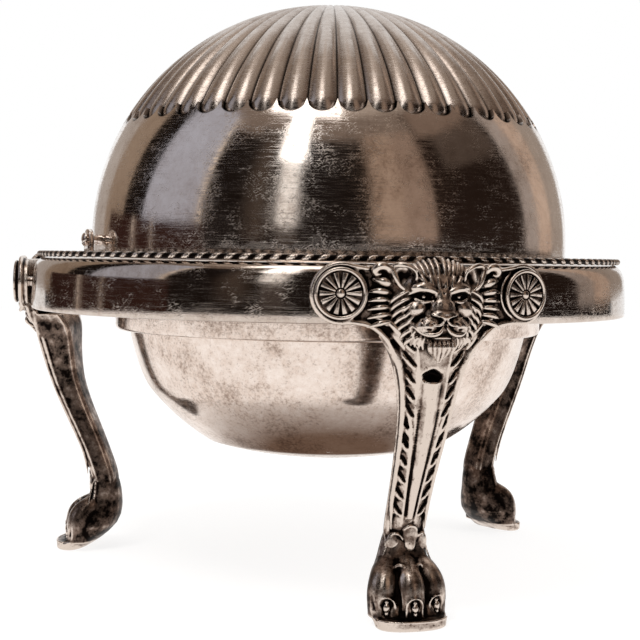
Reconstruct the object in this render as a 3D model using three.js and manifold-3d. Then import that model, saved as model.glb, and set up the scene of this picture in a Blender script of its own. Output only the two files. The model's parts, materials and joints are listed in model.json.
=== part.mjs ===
// Globe caviar dish in silver plate: a domed lid on two side pivots swings down round the outside
// of an ice bowl, which hangs in a wide ring on three cast legs with lion masks and paw feet.
// Millimetres, +Z up, table at z = 0, front leg at -Y. The origin is under the middle of the
// object's box, so the axis of the ring stands a little behind it.
import * as THREE from 'three';
import { mergeVertices } from 'three/addons/utils/BufferGeometryUtils.js';
import Module from 'manifold-3d';

const wasm = await Module();
wasm.setup();

// Clearances
const seatGap = 0.3;            // between pieces that touch
const swingGap = 1;             // between the swinging lid and the bowl inside it
const ringGap = 1.5;            // between the lid and the ring outside it
const turnGap = 0.25;           // round a pivot pin, on the radius
const axisBehind = 5;           // how far the ring's axis stands behind the origin

// Lid and its pivots
const lidRadius = 77;
const lidWall = 1.2;
const lidTurn = 10;             // degrees that the pivot line is turned from straight across
const lidLobes = 48;            // swell out above a plain band, with grooves between them
const lobeEndRadius = 67.6;     // from the upright axis to the lobes' lower ends
const lobeDepth = 0.7;          // of the grooves between the lobes
const lobeEndRise = 2;          // degrees over which a groove reaches that depth
const pivotRise = 6;            // pivot line above the ring's flat top
const pinRadius = 1.1;
const bushRadius = 1.7;
const bushLength = 3;
const pinHeadRadius = 2.1;
const pinHeadLength = 1.2;
const nutRadius = 2.9;
const nutLength = 2;
const bracketWall = 1.4;
const bracketWidth = 6.4;
const bracketFootLength = 6.6;

// Ring
const ringWidth = 17.5;         // from the inner edge to the outside of the band
const ringBottomZ = 83.4;
const bandHeight = 15;
const bandTaper = 0.8;          // the band leans in this much towards its top
const shoulderRadius = 3.6;
const sheet = 1.2;
const lipRadius = 0.7;
const ropeRadius = 1.1;
const bridgeHalfAngle = 54;     // degrees of ring on each side that are joined to the bowl

// Ice bowl, its collar and the glass liner
const collarHeight = 22.2;
const collarStep = 4.6;         // how far the bowl steps in under the collar
const bowlWall = 1.2;
const bowlDepth = 69.1;         // pivot line down to the underside of the bowl
const bowlFlatAngle = 31.5;     // degrees from straight down where the rounded side ends
const bowlSideAngle = 57;       // degrees from straight down where the neck begins
const bowlBottomEase = 0.55;    // how far out the bowl's bottom stays flat, as a share of its edge
const linerOverhang = 3.1;
const linerRimHeight = 2.2;
const linerDepth = 36;
const linerWall = 2.4;
const linerFootRadius = 26;

// Legs
const sideLegTurn = 115;        // degrees from the front leg to each of the other two
const rosetteTurn = 15;         // degrees from a leg's middle to its rosettes
const rosetteRadius = 7.2;
const rosetteProud = 4.6;
const rosetteHubRadius = 1.8;
const rosetteRingWidth = 1.4;   // raised ring round its petals
const rosetteDish = 1;          // how deep the petals lie inside that ring
const rosetteRise = 7.5;        // rosette's centre above the ring's lower edge
const armHeight = 13;
const armThick = 3;
const maskHalfWidth = 11.5;
const maskProud = 6.2;
const maskHeight = 26;
const maskTop = 1.8;            // mask's crest above the ring's flat top
const noseProud = 9.6;
const noseRadius = 3.2;
const noseDrop = 1.4;           // nose below the mask's middle
const earRadius = 3;
const earThick = 4.8;
const earTurnOut = 9;           // ears to each side of the mask's middle
const earBehind = 3.4;          // ears behind the front of the face
const pawLength = 21;
const pawWidth = 20;
const pawReach = 14;            // paw's middle inside the outside of the ring
const soleHeight = 2.6;
const toeRadius = 3.7;
const toeHeight = 5.6;          // toes' middle above the table
const sideToeBack = 1.6;        // side toes behind the middle one
const screwRadius = 1.5;
const screwHeadRadius = 2.8;
const screwHeadLength = 1.8;
const screwDepth = 3;           // into the leg

// Facets
const ringSides = 48;
const lidSteps = 10;
const lobeSides = 3;
const smallSides = 12;

// Sizes that follow
const degree = Math.PI / 180;
const ringTopZ = ringBottomZ + bandHeight;
const ringInner = lidRadius + ringGap;
const bandRadius = ringInner + ringWidth;
const bandTopRadius = bandRadius - bandTaper;
const pivotZ = ringTopZ + pivotRise;
const lidInner = lidRadius - lidWall;
const bowlReach = lidInner - swingGap;
const collarBottomZ = ringTopZ - collarHeight;
const collarRadius = Math.sqrt(bowlReach ** 2 - (pivotZ - collarBottomZ) ** 2);
const neckRadius = collarRadius - collarStep;
const linerRimRadius = neckRadius - bowlWall;
const linerRadius = linerRimRadius - linerOverhang;
const linerSeatZ = ringTopZ + seatGap;
const legFace = bandRadius + lipRadius + seatGap;
const rosetteZ = ringBottomZ + rosetteRise;

const silver = { roughness: 0.32, metalness: 1 };
const plateColour = 0xb3a296;
const castColour = 0x8d7c70;
const dish = new THREE.Group();
dish.position.y = axisBehind;

// A closed triangle mesh as a solid that can be joined and cut
function solidOf(geometry) {
  const bare = geometry.index ? geometry.clone() : mergeVertices(geometry);
  bare.deleteAttribute('normal');
  bare.deleteAttribute('uv');
  const merged = mergeVertices(bare, 1e-4);
  const vertProperties = new Float32Array(merged.attributes.position.array);
  const triVerts = new Uint32Array(merged.index.array);
  return new wasm.Manifold(new wasm.Mesh({ numProp: 3, vertProperties, triVerts }));
}

function geometryOf(solid) {
  const mesh = solid.getMesh();
  const geometry = new THREE.BufferGeometry();
  geometry.setAttribute('position', new THREE.BufferAttribute(mesh.vertProperties, 3));
  geometry.setIndex(new THREE.BufferAttribute(mesh.triVerts, 1));
  geometry.computeVertexNormals();
  return geometry;
}

// Adds a named piece. The turn carries a piece built at the front round to its azimuth.
function addPiece(name, solid, colour, turn = 0, finish = silver) {
  const material = new THREE.MeshStandardMaterial({ color: colour, ...finish });
  const mesh = new THREE.Mesh(geometryOf(solid), material);
  mesh.name = name;
  mesh.rotation.z = turn * degree;
  dish.add(mesh);
}

// A ring turned from a closed outline of [radius, height] points, listed anticlockwise
function turned(outline, sides = ringSides) {
  const points = outline.map(([radius, height]) => new THREE.Vector2(radius, height));
  if (points[0].x > 0) points.push(points[0].clone());
  return solidOf(new THREE.LatheGeometry(points, sides).rotateX(Math.PI / 2));
}

function arcPoints(centre, radius, fromAngle, toAngle, steps) {
  return Array.from({ length: steps + 1 }, (_, i) => {
    const angle = (fromAngle + (toAngle - fromAngle) * i / steps) * degree;
    return [centre[0] + radius * Math.cos(angle), centre[1] + radius * Math.sin(angle)];
  });
}

// A rod that points outwards at the front, from one distance to another, at a height
function rod(radius, inner, outer, height, sides = smallSides) {
  const geometry = new THREE.CylinderGeometry(radius, radius, outer - inner, sides);
  return solidOf(geometry.translate(0, -(inner + outer) / 2, height));
}

function ball(radii, centre, across = 12, down = 8) {
  const geometry = new THREE.SphereGeometry(1, across, down).scale(...radii).translate(...centre);
  return solidOf(geometry);
}

// A skin stretched over a row of closed loops of points, capped at both ends
function loft(loops) {
  const sides = loops[0].length;
  const positions = loops.flat(2);
  const index = [];
  for (let row = 0; row + 1 < loops.length; row += 1) {
    for (let i = 0; i < sides; i += 1) {
      const a = row * sides + i;
      const b = row * sides + (i + 1) % sides;
      index.push(a, b, b + sides, a, b + sides, a + sides);
    }
  }
  const last = (loops.length - 1) * sides;
  for (let i = 1; i + 1 < sides; i += 1) index.push(0, i + 1, i, last, last + i, last + i + 1);
  const geometry = new THREE.BufferGeometry();
  geometry.setAttribute('position', new THREE.Float32BufferAttribute(positions, 3));
  geometry.setIndex(index);
  return solidOf(geometry);
}

// Ring: a folded sheet with a flat top, a rounded shoulder, an upright band and a rolled lip
function ringBand() {
  const shoulder = [bandTopRadius - shoulderRadius, ringTopZ - shoulderRadius];
  const outer = arcPoints(shoulder, shoulderRadius, 0, 90, 3);
  const inner = arcPoints(shoulder, shoulderRadius - sheet, 90, 0, 2);
  const lip = arcPoints([bandRadius, ringBottomZ], lipRadius, -90, 60, 2);
  const band = turned([
    [bandRadius - sheet, ringBottomZ - lipRadius],
    ...lip,
    ...outer,
    [ringInner, ringTopZ],
    [ringInner, ringTopZ - sheet],
    ...inner,
  ]);
  return legTurns.reduce((rest, [, turn]) => {
    const holes = [-1, 1].map((side) => {
      const hole = rod(screwRadius + turnGap, bandTopRadius - 2 * shoulderRadius, legFace, rosetteZ);
      return hole.rotate([0, 0, turn + side * rosetteTurn]);
    });
    return rest.subtract(holes[0]).subtract(holes[1]);
  }, band);
}

function ropeBorder() {
  const centre = [bandTopRadius - shoulderRadius, ringTopZ + seatGap + ropeRadius];
  return turned(arcPoints(centre, ropeRadius, 0, 300, 5));
}

// Flat plate that fills the front of the slot and carries the bowl from the ring
function bridgePlate() {
  const shape = new THREE.Shape();
  const middle = -Math.PI / 2;
  const half = bridgeHalfAngle * degree;
  shape.absarc(0, 0, ringInner - seatGap, middle - half, middle + half, false);
  shape.absarc(0, 0, collarRadius + seatGap, middle + half, middle - half, true);
  const plate = new THREE.ExtrudeGeometry(shape, { depth: sheet, bevelEnabled: false, curveSegments: 14 });
  return solidOf(plate.translate(0, 0, ringTopZ - sheet));
}

// Collar: a flat seat for the liner, an upright apron and a lip turned in under it
function bowlCollar() {
  return turned([
    [linerRadius + 2 * seatGap, ringTopZ - sheet],
    [collarRadius - sheet, ringTopZ - sheet],
    [collarRadius - sheet, collarBottomZ + sheet],
    [neckRadius + seatGap, collarBottomZ + sheet],
    [neckRadius + seatGap, collarBottomZ],
    [collarRadius, collarBottomZ],
    [collarRadius, ringTopZ],
    [linerRadius + 2 * seatGap, ringTopZ],
  ]);
}

// Half outline of the bowl, rim to middle, set in by a wall
function bowlSide(wall) {
  const reach = bowlReach - wall;
  const rounded = arcPoints([0, pivotZ], reach, bowlSideAngle - 90, bowlFlatAngle - 90, 4);
  const flatEdge = rounded[rounded.length - 1];
  const bottomZ = pivotZ - bowlDepth + wall;
  const bottom = new THREE.QuadraticBezierCurve(
    new THREE.Vector2(...flatEdge),
    new THREE.Vector2(flatEdge[0] * bowlBottomEase, bottomZ),
    new THREE.Vector2(0, bottomZ),
  ).getPoints(3).slice(1).map((point) => [point.x, point.y]);
  return [[neckRadius - wall, collarBottomZ - collarStep], ...rounded, ...bottom];
}

function iceBowl() {
  const rimZ = ringTopZ - sheet - seatGap;
  const outside = [[neckRadius, rimZ], ...bowlSide(0)];
  const inside = [[neckRadius - bowlWall, rimZ], ...bowlSide(bowlWall)];
  return turned([...outside.reverse(), ...inside]);
}

function glassLiner() {
  const rimTop = linerSeatZ + linerRimHeight;
  const footZ = linerSeatZ - linerDepth;
  const side = new THREE.QuadraticBezierCurve(
    new THREE.Vector2(linerFootRadius, footZ),
    new THREE.Vector2(linerRadius, footZ + linerWall),
    new THREE.Vector2(linerRadius, linerSeatZ),
  ).getPoints(4).map((point) => [point.x, point.y]);
  const hollow = new THREE.QuadraticBezierCurve(
    new THREE.Vector2(linerRadius - linerWall, rimTop),
    new THREE.Vector2(linerRadius - linerWall, footZ + 2 * linerWall),
    new THREE.Vector2(linerFootRadius - linerWall, footZ + linerWall),
  ).getPoints(4).map((point) => [point.x, point.y]);
  return turned([
    [0, footZ],
    ...side,
    [linerRimRadius, linerSeatZ],
    [linerRimRadius, rimTop],
    ...hollow,
    [0, footZ + linerWall],
  ]);
}

// Draws a corner of the lid in where a groove runs, less so towards the crown
function groove(point) {
  const reach = Math.hypot(point[0], point[1]);
  const lobe = Math.atan2(point[0], -point[1]) / degree * lidLobes / 360;
  const besideGroove = Math.abs(lobe - Math.round(lobe)) > 0.5 / lobeSides;
  if (besideGroove || reach > lobeEndRadius - seatGap || point[2] < pivotZ) return;
  const depth = lobeDepth * Math.min(1, 1.35 * reach / lobeEndRadius);
  const share = 1 - depth / lidRadius;
  point[0] *= share;
  point[1] *= share;
  point[2] = pivotZ + (point[2] - pivotZ) * share;
}

// Lid: a round shell whose edge hangs a little below its pivots, down to the ring's top. One of
// its grooves faces the front leg.
function domeLid() {
  const edgeZ = ringTopZ + seatGap;
  const drop = (radius) => Math.asin((edgeZ - pivotZ) / radius) / degree;
  const lobeEnd = Math.acos(lobeEndRadius / lidRadius) / degree;
  const plain = arcPoints([0, pivotZ], lidRadius, drop(lidRadius), lobeEnd, 3);
  const lobed = arcPoints([0, pivotZ], lidRadius, lobeEnd + lobeEndRise, 90, lidSteps - 3);
  const inside = arcPoints([0, pivotZ], lidInner, drop(lidInner), 90, lidSteps);
  lobed[lobed.length - 1][0] = 0;
  inside[inside.length - 1][0] = 0;
  const hollow = turned([[0, edgeZ - 1], [inside[0][0], edgeZ - 1], ...inside]);
  const shell = turned([[0, edgeZ], ...plain, ...lobed], lobeSides * lidLobes)
    .warp(groove)
    .rotate([0, 0, -pivotTurns[0][1]])
    .subtract(hollow);
  return [0, 180].reduce((rest, turn) => {
    const hole = rod(pinRadius + turnGap, lidInner - lidWall, lidRadius + lidWall, pivotZ);
    return rest.subtract(hole.rotate([0, 0, turn]));
  }, shell);
}

// Pivot parts, built at the front and turned to their azimuth. The nut clears the lid's facets.
const bushInner = lidRadius + seatGap;
const tabInner = bushInner + bushLength + seatGap;
const tabOuter = tabInner + bracketWall;
const lidFlat = lidInner * Math.cos(Math.PI / ringSides) * Math.cos(Math.PI / 4 / lidSteps);
const nutOuter = lidFlat - seatGap;

function pivotBracket() {
  const footZ = ringTopZ + seatGap;
  const tab = new THREE.Shape();
  tab.moveTo(-bracketWidth / 2, footZ);
  tab.lineTo(bracketWidth / 2, footZ);
  tab.lineTo(bracketWidth / 2, pivotZ);
  tab.absarc(0, pivotZ, bracketWidth / 2, 0, Math.PI, false);
  const wall = { depth: bracketWall, bevelEnabled: false, curveSegments: 10 };
  const upright = new THREE.ExtrudeGeometry(tab, wall);
  const foot = new THREE.BoxGeometry(bracketWidth, bracketFootLength + bracketWall, bracketWall);
  foot.translate(0, -(tabInner + (bracketFootLength + bracketWall) / 2), footZ + bracketWall / 2);
  return solidOf(upright.rotateX(Math.PI / 2).translate(0, -tabInner, 0))
    .add(solidOf(foot))
    .subtract(rod(pinRadius + turnGap, tabInner - 1, tabOuter + 1, pivotZ));
}

function pivotPin() {
  const tip = nutOuter - nutLength - seatGap;
  const head = tabOuter + seatGap;
  return rod(pinRadius, tip, head + pinHeadLength / 2, pivotZ)
    .add(rod(pinHeadRadius, head, head + pinHeadLength, pivotZ));
}

function pivotBush() {
  return rod(bushRadius, bushInner, bushInner + bushLength, pivotZ)
    .subtract(rod(pinRadius + turnGap, bushInner - 1, bushInner + bushLength + 1, pivotZ));
}

function pivotNut() {
  return rod(nutRadius, nutOuter - nutLength, nutOuter, pivotZ, 6)
    .subtract(rod(pinRadius + turnGap, nutOuter - nutLength - 1, nutOuter + 1, pivotZ));
}

// Leg: each station gives its height, how far its front and back lie inside the outside of the
// band, and its half width. The upper ones hang from the ring and the lower ones stand on the table.
function shank() {
  const shankTop = ringBottomZ - 1;
  const stations = [
    [soleHeight - 1, 4.4, 24.6, 8.6],
    [7.5, 5.4, 24, 9.6],
    [11.5, 8.4, 25.6, 8.6],
    [15, 12, 25.8, 6.6],
    [19, 14.6, 25.6, 5.7],
    [shankTop * 0.3, 15, 24.8, 5.3],
    [shankTop * 0.44, 10.4, 20.2, 5.3],
    [shankTop * 0.58, 5, 15.2, 6],
    [shankTop * 0.7, 0.8, 11.8, 6.6],
    [shankTop * 0.84, -2.8, 10, 7.6],
    [shankTop * 0.93, -5, 11.4, 10.6],
    [shankTop, -4.6, 12, 15],
    [rosetteZ - armHeight / 2 + 1, -4, 10, 19],
  ];
  return loft(stations.map(([z, front, back, halfWidth]) => {
    const frontY = front - bandRadius;
    const backY = back - bandRadius;
    const sideY = frontY + (backY - frontY) * 0.5;
    return [
      [0, frontY, z],
      [halfWidth * 0.62, frontY + (sideY - frontY) * 0.3, z],
      [halfWidth, sideY, z],
      [halfWidth * 0.6, backY + (sideY - backY) * 0.3, z],
      [0, backY, z],
      [-halfWidth * 0.6, backY + (sideY - backY) * 0.3, z],
      [-halfWidth, sideY, z],
      [-halfWidth * 0.62, frontY + (sideY - frontY) * 0.3, z],
    ];
  }));
}

// Bar bent round the band from one rosette to the other
function maskArms() {
  const steps = 6;
  return loft(Array.from({ length: steps + 1 }, (_, i) => {
    const angle = (-90 + rosetteTurn * (2 * i / steps - 1)) * degree;
    const corner = (radius, z) => [radius * Math.cos(angle), radius * Math.sin(angle), z];
    const low = rosetteZ - armHeight / 2;
    const high = rosetteZ + armHeight / 2;
    const outer = legFace + armThick;
    return [corner(legFace, low), corner(legFace, high), corner(outer, high), corner(outer, low)];
  }));
}

function rosette(side) {
  const outer = legFace + rosetteProud;
  return rod(rosetteRadius, legFace - 1, outer, rosetteZ)
    .subtract(rod(rosetteRadius - rosetteRingWidth, outer - rosetteDish, outer + 1, rosetteZ))
    .add(rod(rosetteHubRadius, outer - 2 * rosetteDish, outer, rosetteZ, 6))
    .rotate([0, 0, side * rosetteTurn]);
}

function lionMask() {
  const crestZ = ringTopZ + maskTop;
  const middleZ = crestZ - maskHeight / 2;
  const face = -(legFace + maskProud);
  const ears = [-1, 1].map((side) => {
    const centre = [side * earTurnOut, face + earBehind, crestZ - earRadius];
    return ball([earRadius, earThick / 2, earRadius], centre, 6, 4);
  });
  const noseMiddle = [0, noseRadius - legFace - noseProud, middleZ - noseDrop];
  return ball([maskHalfWidth, maskProud, maskHeight / 2], [0, face + maskProud, middleZ])
    .add(ball([noseRadius, noseRadius, noseRadius], noseMiddle, 8, 6))
    .add(ears[0])
    .add(ears[1]);
}

function paw() {
  const outline = new THREE.Shape();
  outline.absellipse(0, bandRadius - pawReach, pawWidth / 2, pawLength / 2, 0, 2 * Math.PI, false);
  const slab = { depth: soleHeight, bevelEnabled: false, curveSegments: 12 };
  const sole = new THREE.ExtrudeGeometry(outline, slab);
  const toes = [-1, 0, 1].map((side) => {
    const front = bandRadius - pawReach + pawLength / 2 - Math.abs(side) * sideToeBack;
    const centre = [side * (pawWidth / 2 - toeRadius), toeRadius - front, toeHeight];
    return ball([toeRadius, toeRadius, toeRadius * 1.2], centre, 6, 4);
  });
  return solidOf(sole.rotateX(Math.PI).translate(0, 0, soleHeight))
    .add(toes[0])
    .add(toes[1])
    .add(toes[2]);
}

function leg() {
  const ringSpace = new THREE.CylinderGeometry(legFace, legFace, 2 * bandHeight, 1.5 * ringSides);
  ringSpace.rotateX(Math.PI / 2).translate(0, 0, ringBottomZ - lipRadius - seatGap + bandHeight);
  const blank = shank()
    .add(maskArms())
    .add(lionMask())
    .add(rosette(-1))
    .add(rosette(1))
    .add(paw())
    .subtract(solidOf(ringSpace));
  return [-1, 1].reduce((rest, side) => {
    const hole = rod(screwRadius + turnGap, legFace - 1, legFace + screwDepth, rosetteZ);
    return rest.subtract(hole.rotate([0, 0, side * rosetteTurn]));
  }, blank);
}

function legScrew(side) {
  const wallInside = bandTopRadius - sheet;
  const headOuter = wallInside - seatGap;
  return rod(screwRadius, headOuter - 1, legFace + screwDepth - seatGap, rosetteZ)
    .add(rod(screwHeadRadius, headOuter - screwHeadLength, headOuter, rosetteZ))
    .rotate([0, 0, side * rosetteTurn]);
}

const legTurns = [['front', 0], ['left', -sideLegTurn], ['right', sideLegTurn]];
const pivotTurns = [['left', lidTurn - 90], ['right', lidTurn + 90]];

addPiece('rim_band', ringBand(), plateColour);
addPiece('rope_border', ropeBorder(), castColour);
addPiece('bridge_plate', bridgePlate(), plateColour, lidTurn);
addPiece('bowl_collar', bowlCollar(), plateColour);
addPiece('ice_bowl', iceBowl(), plateColour);
addPiece('glass_liner', glassLiner(), 0xdfe9e6, 0, { roughness: 0.05, metalness: 0 });
addPiece('dome_lid', domeLid(), plateColour, pivotTurns[0][1]);
for (const [side, turn] of pivotTurns) {
  addPiece(`pivot_bracket_${side}`, pivotBracket(), castColour, turn);
  addPiece(`pivot_pin_${side}`, pivotPin(), castColour, turn);
  addPiece(`pivot_bush_${side}`, pivotBush(), castColour, turn);
  addPiece(`pivot_nut_${side}`, pivotNut(), castColour, turn);
}
for (const [place, turn] of legTurns) {
  addPiece(`leg_${place}`, leg(), castColour, turn);
  addPiece(`leg_screw_${place}_1`, legScrew(-1), castColour, turn);
  addPiece(`leg_screw_${place}_2`, legScrew(1), castColour, turn);
}

export default dish;
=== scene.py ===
# Globe caviar dish in worn silver plate: fluted lid, ring with rope border, ice bowl, glass liner
# and three cast legs with lion masks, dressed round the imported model.
import json
import math

import bmesh
import bpy
import numpy as np
from mathutils import Matrix, Vector
from mathutils.bvhtree import BVHTree


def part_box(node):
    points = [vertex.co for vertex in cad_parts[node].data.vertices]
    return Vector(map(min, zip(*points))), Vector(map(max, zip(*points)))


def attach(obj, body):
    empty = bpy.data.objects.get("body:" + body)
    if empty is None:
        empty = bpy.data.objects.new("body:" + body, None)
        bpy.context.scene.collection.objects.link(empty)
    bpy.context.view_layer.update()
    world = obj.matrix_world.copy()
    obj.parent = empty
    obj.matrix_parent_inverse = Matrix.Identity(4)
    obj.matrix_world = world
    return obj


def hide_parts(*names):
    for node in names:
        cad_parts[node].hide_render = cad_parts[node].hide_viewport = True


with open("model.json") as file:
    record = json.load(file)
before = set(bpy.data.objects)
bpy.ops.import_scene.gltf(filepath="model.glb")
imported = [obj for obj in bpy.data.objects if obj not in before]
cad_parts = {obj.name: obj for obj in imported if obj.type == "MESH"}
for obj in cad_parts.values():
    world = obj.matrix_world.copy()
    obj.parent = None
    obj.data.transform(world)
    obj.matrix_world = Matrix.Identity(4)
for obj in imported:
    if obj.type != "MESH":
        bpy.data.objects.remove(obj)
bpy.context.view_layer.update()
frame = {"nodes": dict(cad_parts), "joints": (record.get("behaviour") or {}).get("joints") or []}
mm = 0.001

# Places taken from the frame, in millimetres
bandLow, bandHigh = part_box("rim_band")
lidLow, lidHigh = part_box("dome_lid")
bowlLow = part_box("ice_bowl")[0]
collarLow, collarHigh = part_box("bowl_collar")
axisY = (bandLow.y + bandHigh.y) / 2 / mm
ringTop = bandHigh.z / mm
ringLow = bandLow.z / mm
pivotSpot = frame["joints"][0]["pos_m"]
pivotZ = pivotSpot[2] / mm
lidTurn = math.degrees(math.atan2(-frame["joints"][0]["axis"][1], -frame["joints"][0]["axis"][0]))
lidRadius = lidHigh.z / mm - pivotZ


# Camera: the picture is 640 pixels square
cameraSettings = {
    "azimuth": -16.4,       # degrees from the front leg
    "distance": 441.6,      # millimetres from the ring's axis
    "aside": -2.4,
    "height": 99.8,
    "pitch": 2.65,          # degrees down
    "roll": 0.89,           # degrees, right side of the picture lower
    "focalPixels": 1335,
    "picturePixels": 640,
    "sensor": 36,
}


def makeCamera(s):
    turn = math.radians(s["azimuth"])
    pitch, roll = math.radians(s["pitch"]), math.radians(s["roll"])
    ahead = Vector((-math.sin(turn), math.cos(turn), 0))
    right = Vector((math.cos(turn), math.sin(turn), 0))
    spot = Vector((0, axisY, s["height"])) + right * s["aside"] - ahead * s["distance"]
    look = ahead * math.cos(pitch) + Vector((0, 0, -math.sin(pitch)))
    up = ahead * math.sin(pitch) + Vector((0, 0, math.cos(pitch)))
    across = right * math.cos(roll) + up * math.sin(roll)
    above = up * math.cos(roll) - right * math.sin(roll)
    data = bpy.data.cameras.new("camera")
    data.sensor_fit = "HORIZONTAL"
    data.sensor_width = s["sensor"]
    data.lens = s["focalPixels"] / s["picturePixels"] * s["sensor"]
    data.clip_start = 0.01
    data.clip_end = 50
    camera = bpy.data.objects.new("camera", data)
    bpy.context.scene.collection.objects.link(camera)
    axes = Matrix((across, above, -look)).transposed().to_4x4()
    camera.matrix_world = Matrix.Translation(spot * mm) @ axes
    bpy.context.scene.camera = camera


makeCamera(cameraSettings)


# Nodes and colours
def linear(code):
    parts = [int(code[i:i + 2], 16) / 255 for i in (1, 3, 5)]
    return [c / 12.92 if c <= 0.04045 else ((c + 0.055) / 1.055) ** 2.4 for c in parts] + [1]


def addNode(tree, kind, inputs=None, stops=(), **settings):
    # inputs are sockets to link or fixed values; stops are the places and colours of a ramp
    node = tree.nodes.new(kind)
    for key, value in settings.items():
        setattr(node, key, value)
    for key, value in (inputs or {}).items():
        if isinstance(value, bpy.types.NodeSocket):
            tree.links.new(value, node.inputs[key])
        else:
            node.inputs[key].default_value = value
    if stops:
        elements = node.color_ramp.elements
        while len(elements) < len(stops):
            elements.new(0.5)
        for element, (place, colour) in zip(elements, stops):
            element.position = place
            element.color = linear(colour)
    return node


def newMaterial(name):
    material = bpy.data.materials.new(name)
    material.use_nodes = True
    tree = material.node_tree
    return material, tree, tree.nodes["Principled BSDF"]


def turnedCoordinates(tree, around, along):
    # stretches a pattern round the ring's axis: fine along the height, long round the piece
    place = addNode(tree, "ShaderNodeTexCoord").outputs["Object"]
    split = addNode(tree, "ShaderNodeSeparateXYZ", {"Vector": place}).outputs
    fromAxis = addNode(tree, "ShaderNodeMath", {0: split["Y"], 1: axisY * mm},
                       operation="SUBTRACT").outputs[0]
    turn = addNode(tree, "ShaderNodeMath", {0: split["X"], 1: fromAxis}, operation="ARCTAN2").outputs[0]
    longer = addNode(tree, "ShaderNodeMath", {0: turn, 1: around}, operation="MULTIPLY").outputs[0]
    higher = addNode(tree, "ShaderNodeMath", {0: split["Z"], 1: along}, operation="MULTIPLY").outputs[0]
    return addNode(tree, "ShaderNodeCombineXYZ", {"X": longer, "Y": higher}).outputs[0]


def hairlines(tree, s):
    # short fine scratches in three directions, from thin cells of a stretched pattern
    flat = turnedCoordinates(tree, s["hairAround"], 1000)
    found = None
    for angle, share in s["hairTurns"]:
        aimed = addNode(tree, "ShaderNodeVectorRotate", {
            "Vector": flat, "Angle": math.radians(angle)}, rotation_type="Z_AXIS").outputs[0]
        long = addNode(tree, "ShaderNodeVectorMath", {
            0: aimed, 1: (1 / s["hairLong"], 1 / s["hairWide"], 1)}, operation="MULTIPLY").outputs[0]
        cells = addNode(tree, "ShaderNodeTexVoronoi", {
            "Vector": long, "Scale": 1}, voronoi_dimensions="2D").outputs["Distance"]
        line = addNode(tree, "ShaderNodeMapRange", {
            "Value": cells, "From Min": 0.1, "From Max": 0.24, "To Min": share, "To Max": 0}).outputs[0]
        if found:
            line = addNode(tree, "ShaderNodeMath", {0: found, 1: line}, operation="MAXIMUM").outputs[0]
        found = line
    return found


# Silver plate, spun and hand polished: a warm pale metal, mirror bright, with fine scratches round it that
# spread each highlight sideways, brown where it has tarnished, dark where oxide is left, and painted shade
# on the lobes
plateSettings = {
    "clean": "#f3ebe5",
    "worn": "#ddd2ca",
    "tarnish": "#a08e81",
    "oxide": "#1d1613",
    "speck": "#6b5446",
    "patches": (0.38, 0.55, 0.74),      # shares of the cloud pattern at clean, worn and tarnished
    "tarnishSize": 30,      # millimetres across a patch
    "mottleShare": 0.4,     # how much a pattern nine times finer breaks up the patches
    "speckSize": 0.9,
    "speckAmount": 0.3,
    "speckRange": (0.6, 0.75),
    "scratchHeight": 0.4,   # millimetres between scratches, drawn coarser than the real ones
    "scratchAround": 9,     # scratches begin and end this often in one radian
    "hairAround": 80,       # millimetres of the plate's reach, for the scratches across it
    "hairLong": 3.4,
    "hairWide": 0.5,
    "hairTurns": ((28, 0.8), (-35, 0.7), (75, 0.5)),    # degrees and strength
    "hairSpots": 7,         # they come in groups of this size
    "hairDepth": 0.25,
    "roughness": 0.05,
    "roughnessScratch": 0.28,
    "haze": 0.12,           # more roughness where it is tarnished
    "handed": 0.13,         # the lobes are duller than the plain spun part
    # painted shade on the lobes: a darker colour that offsets the bright ceiling they reflect
    "lobeShade": "#8f8177",
    "lobeShadeShare": 0.44,
    "bump": 0.008,          # millimetres deep
}


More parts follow.
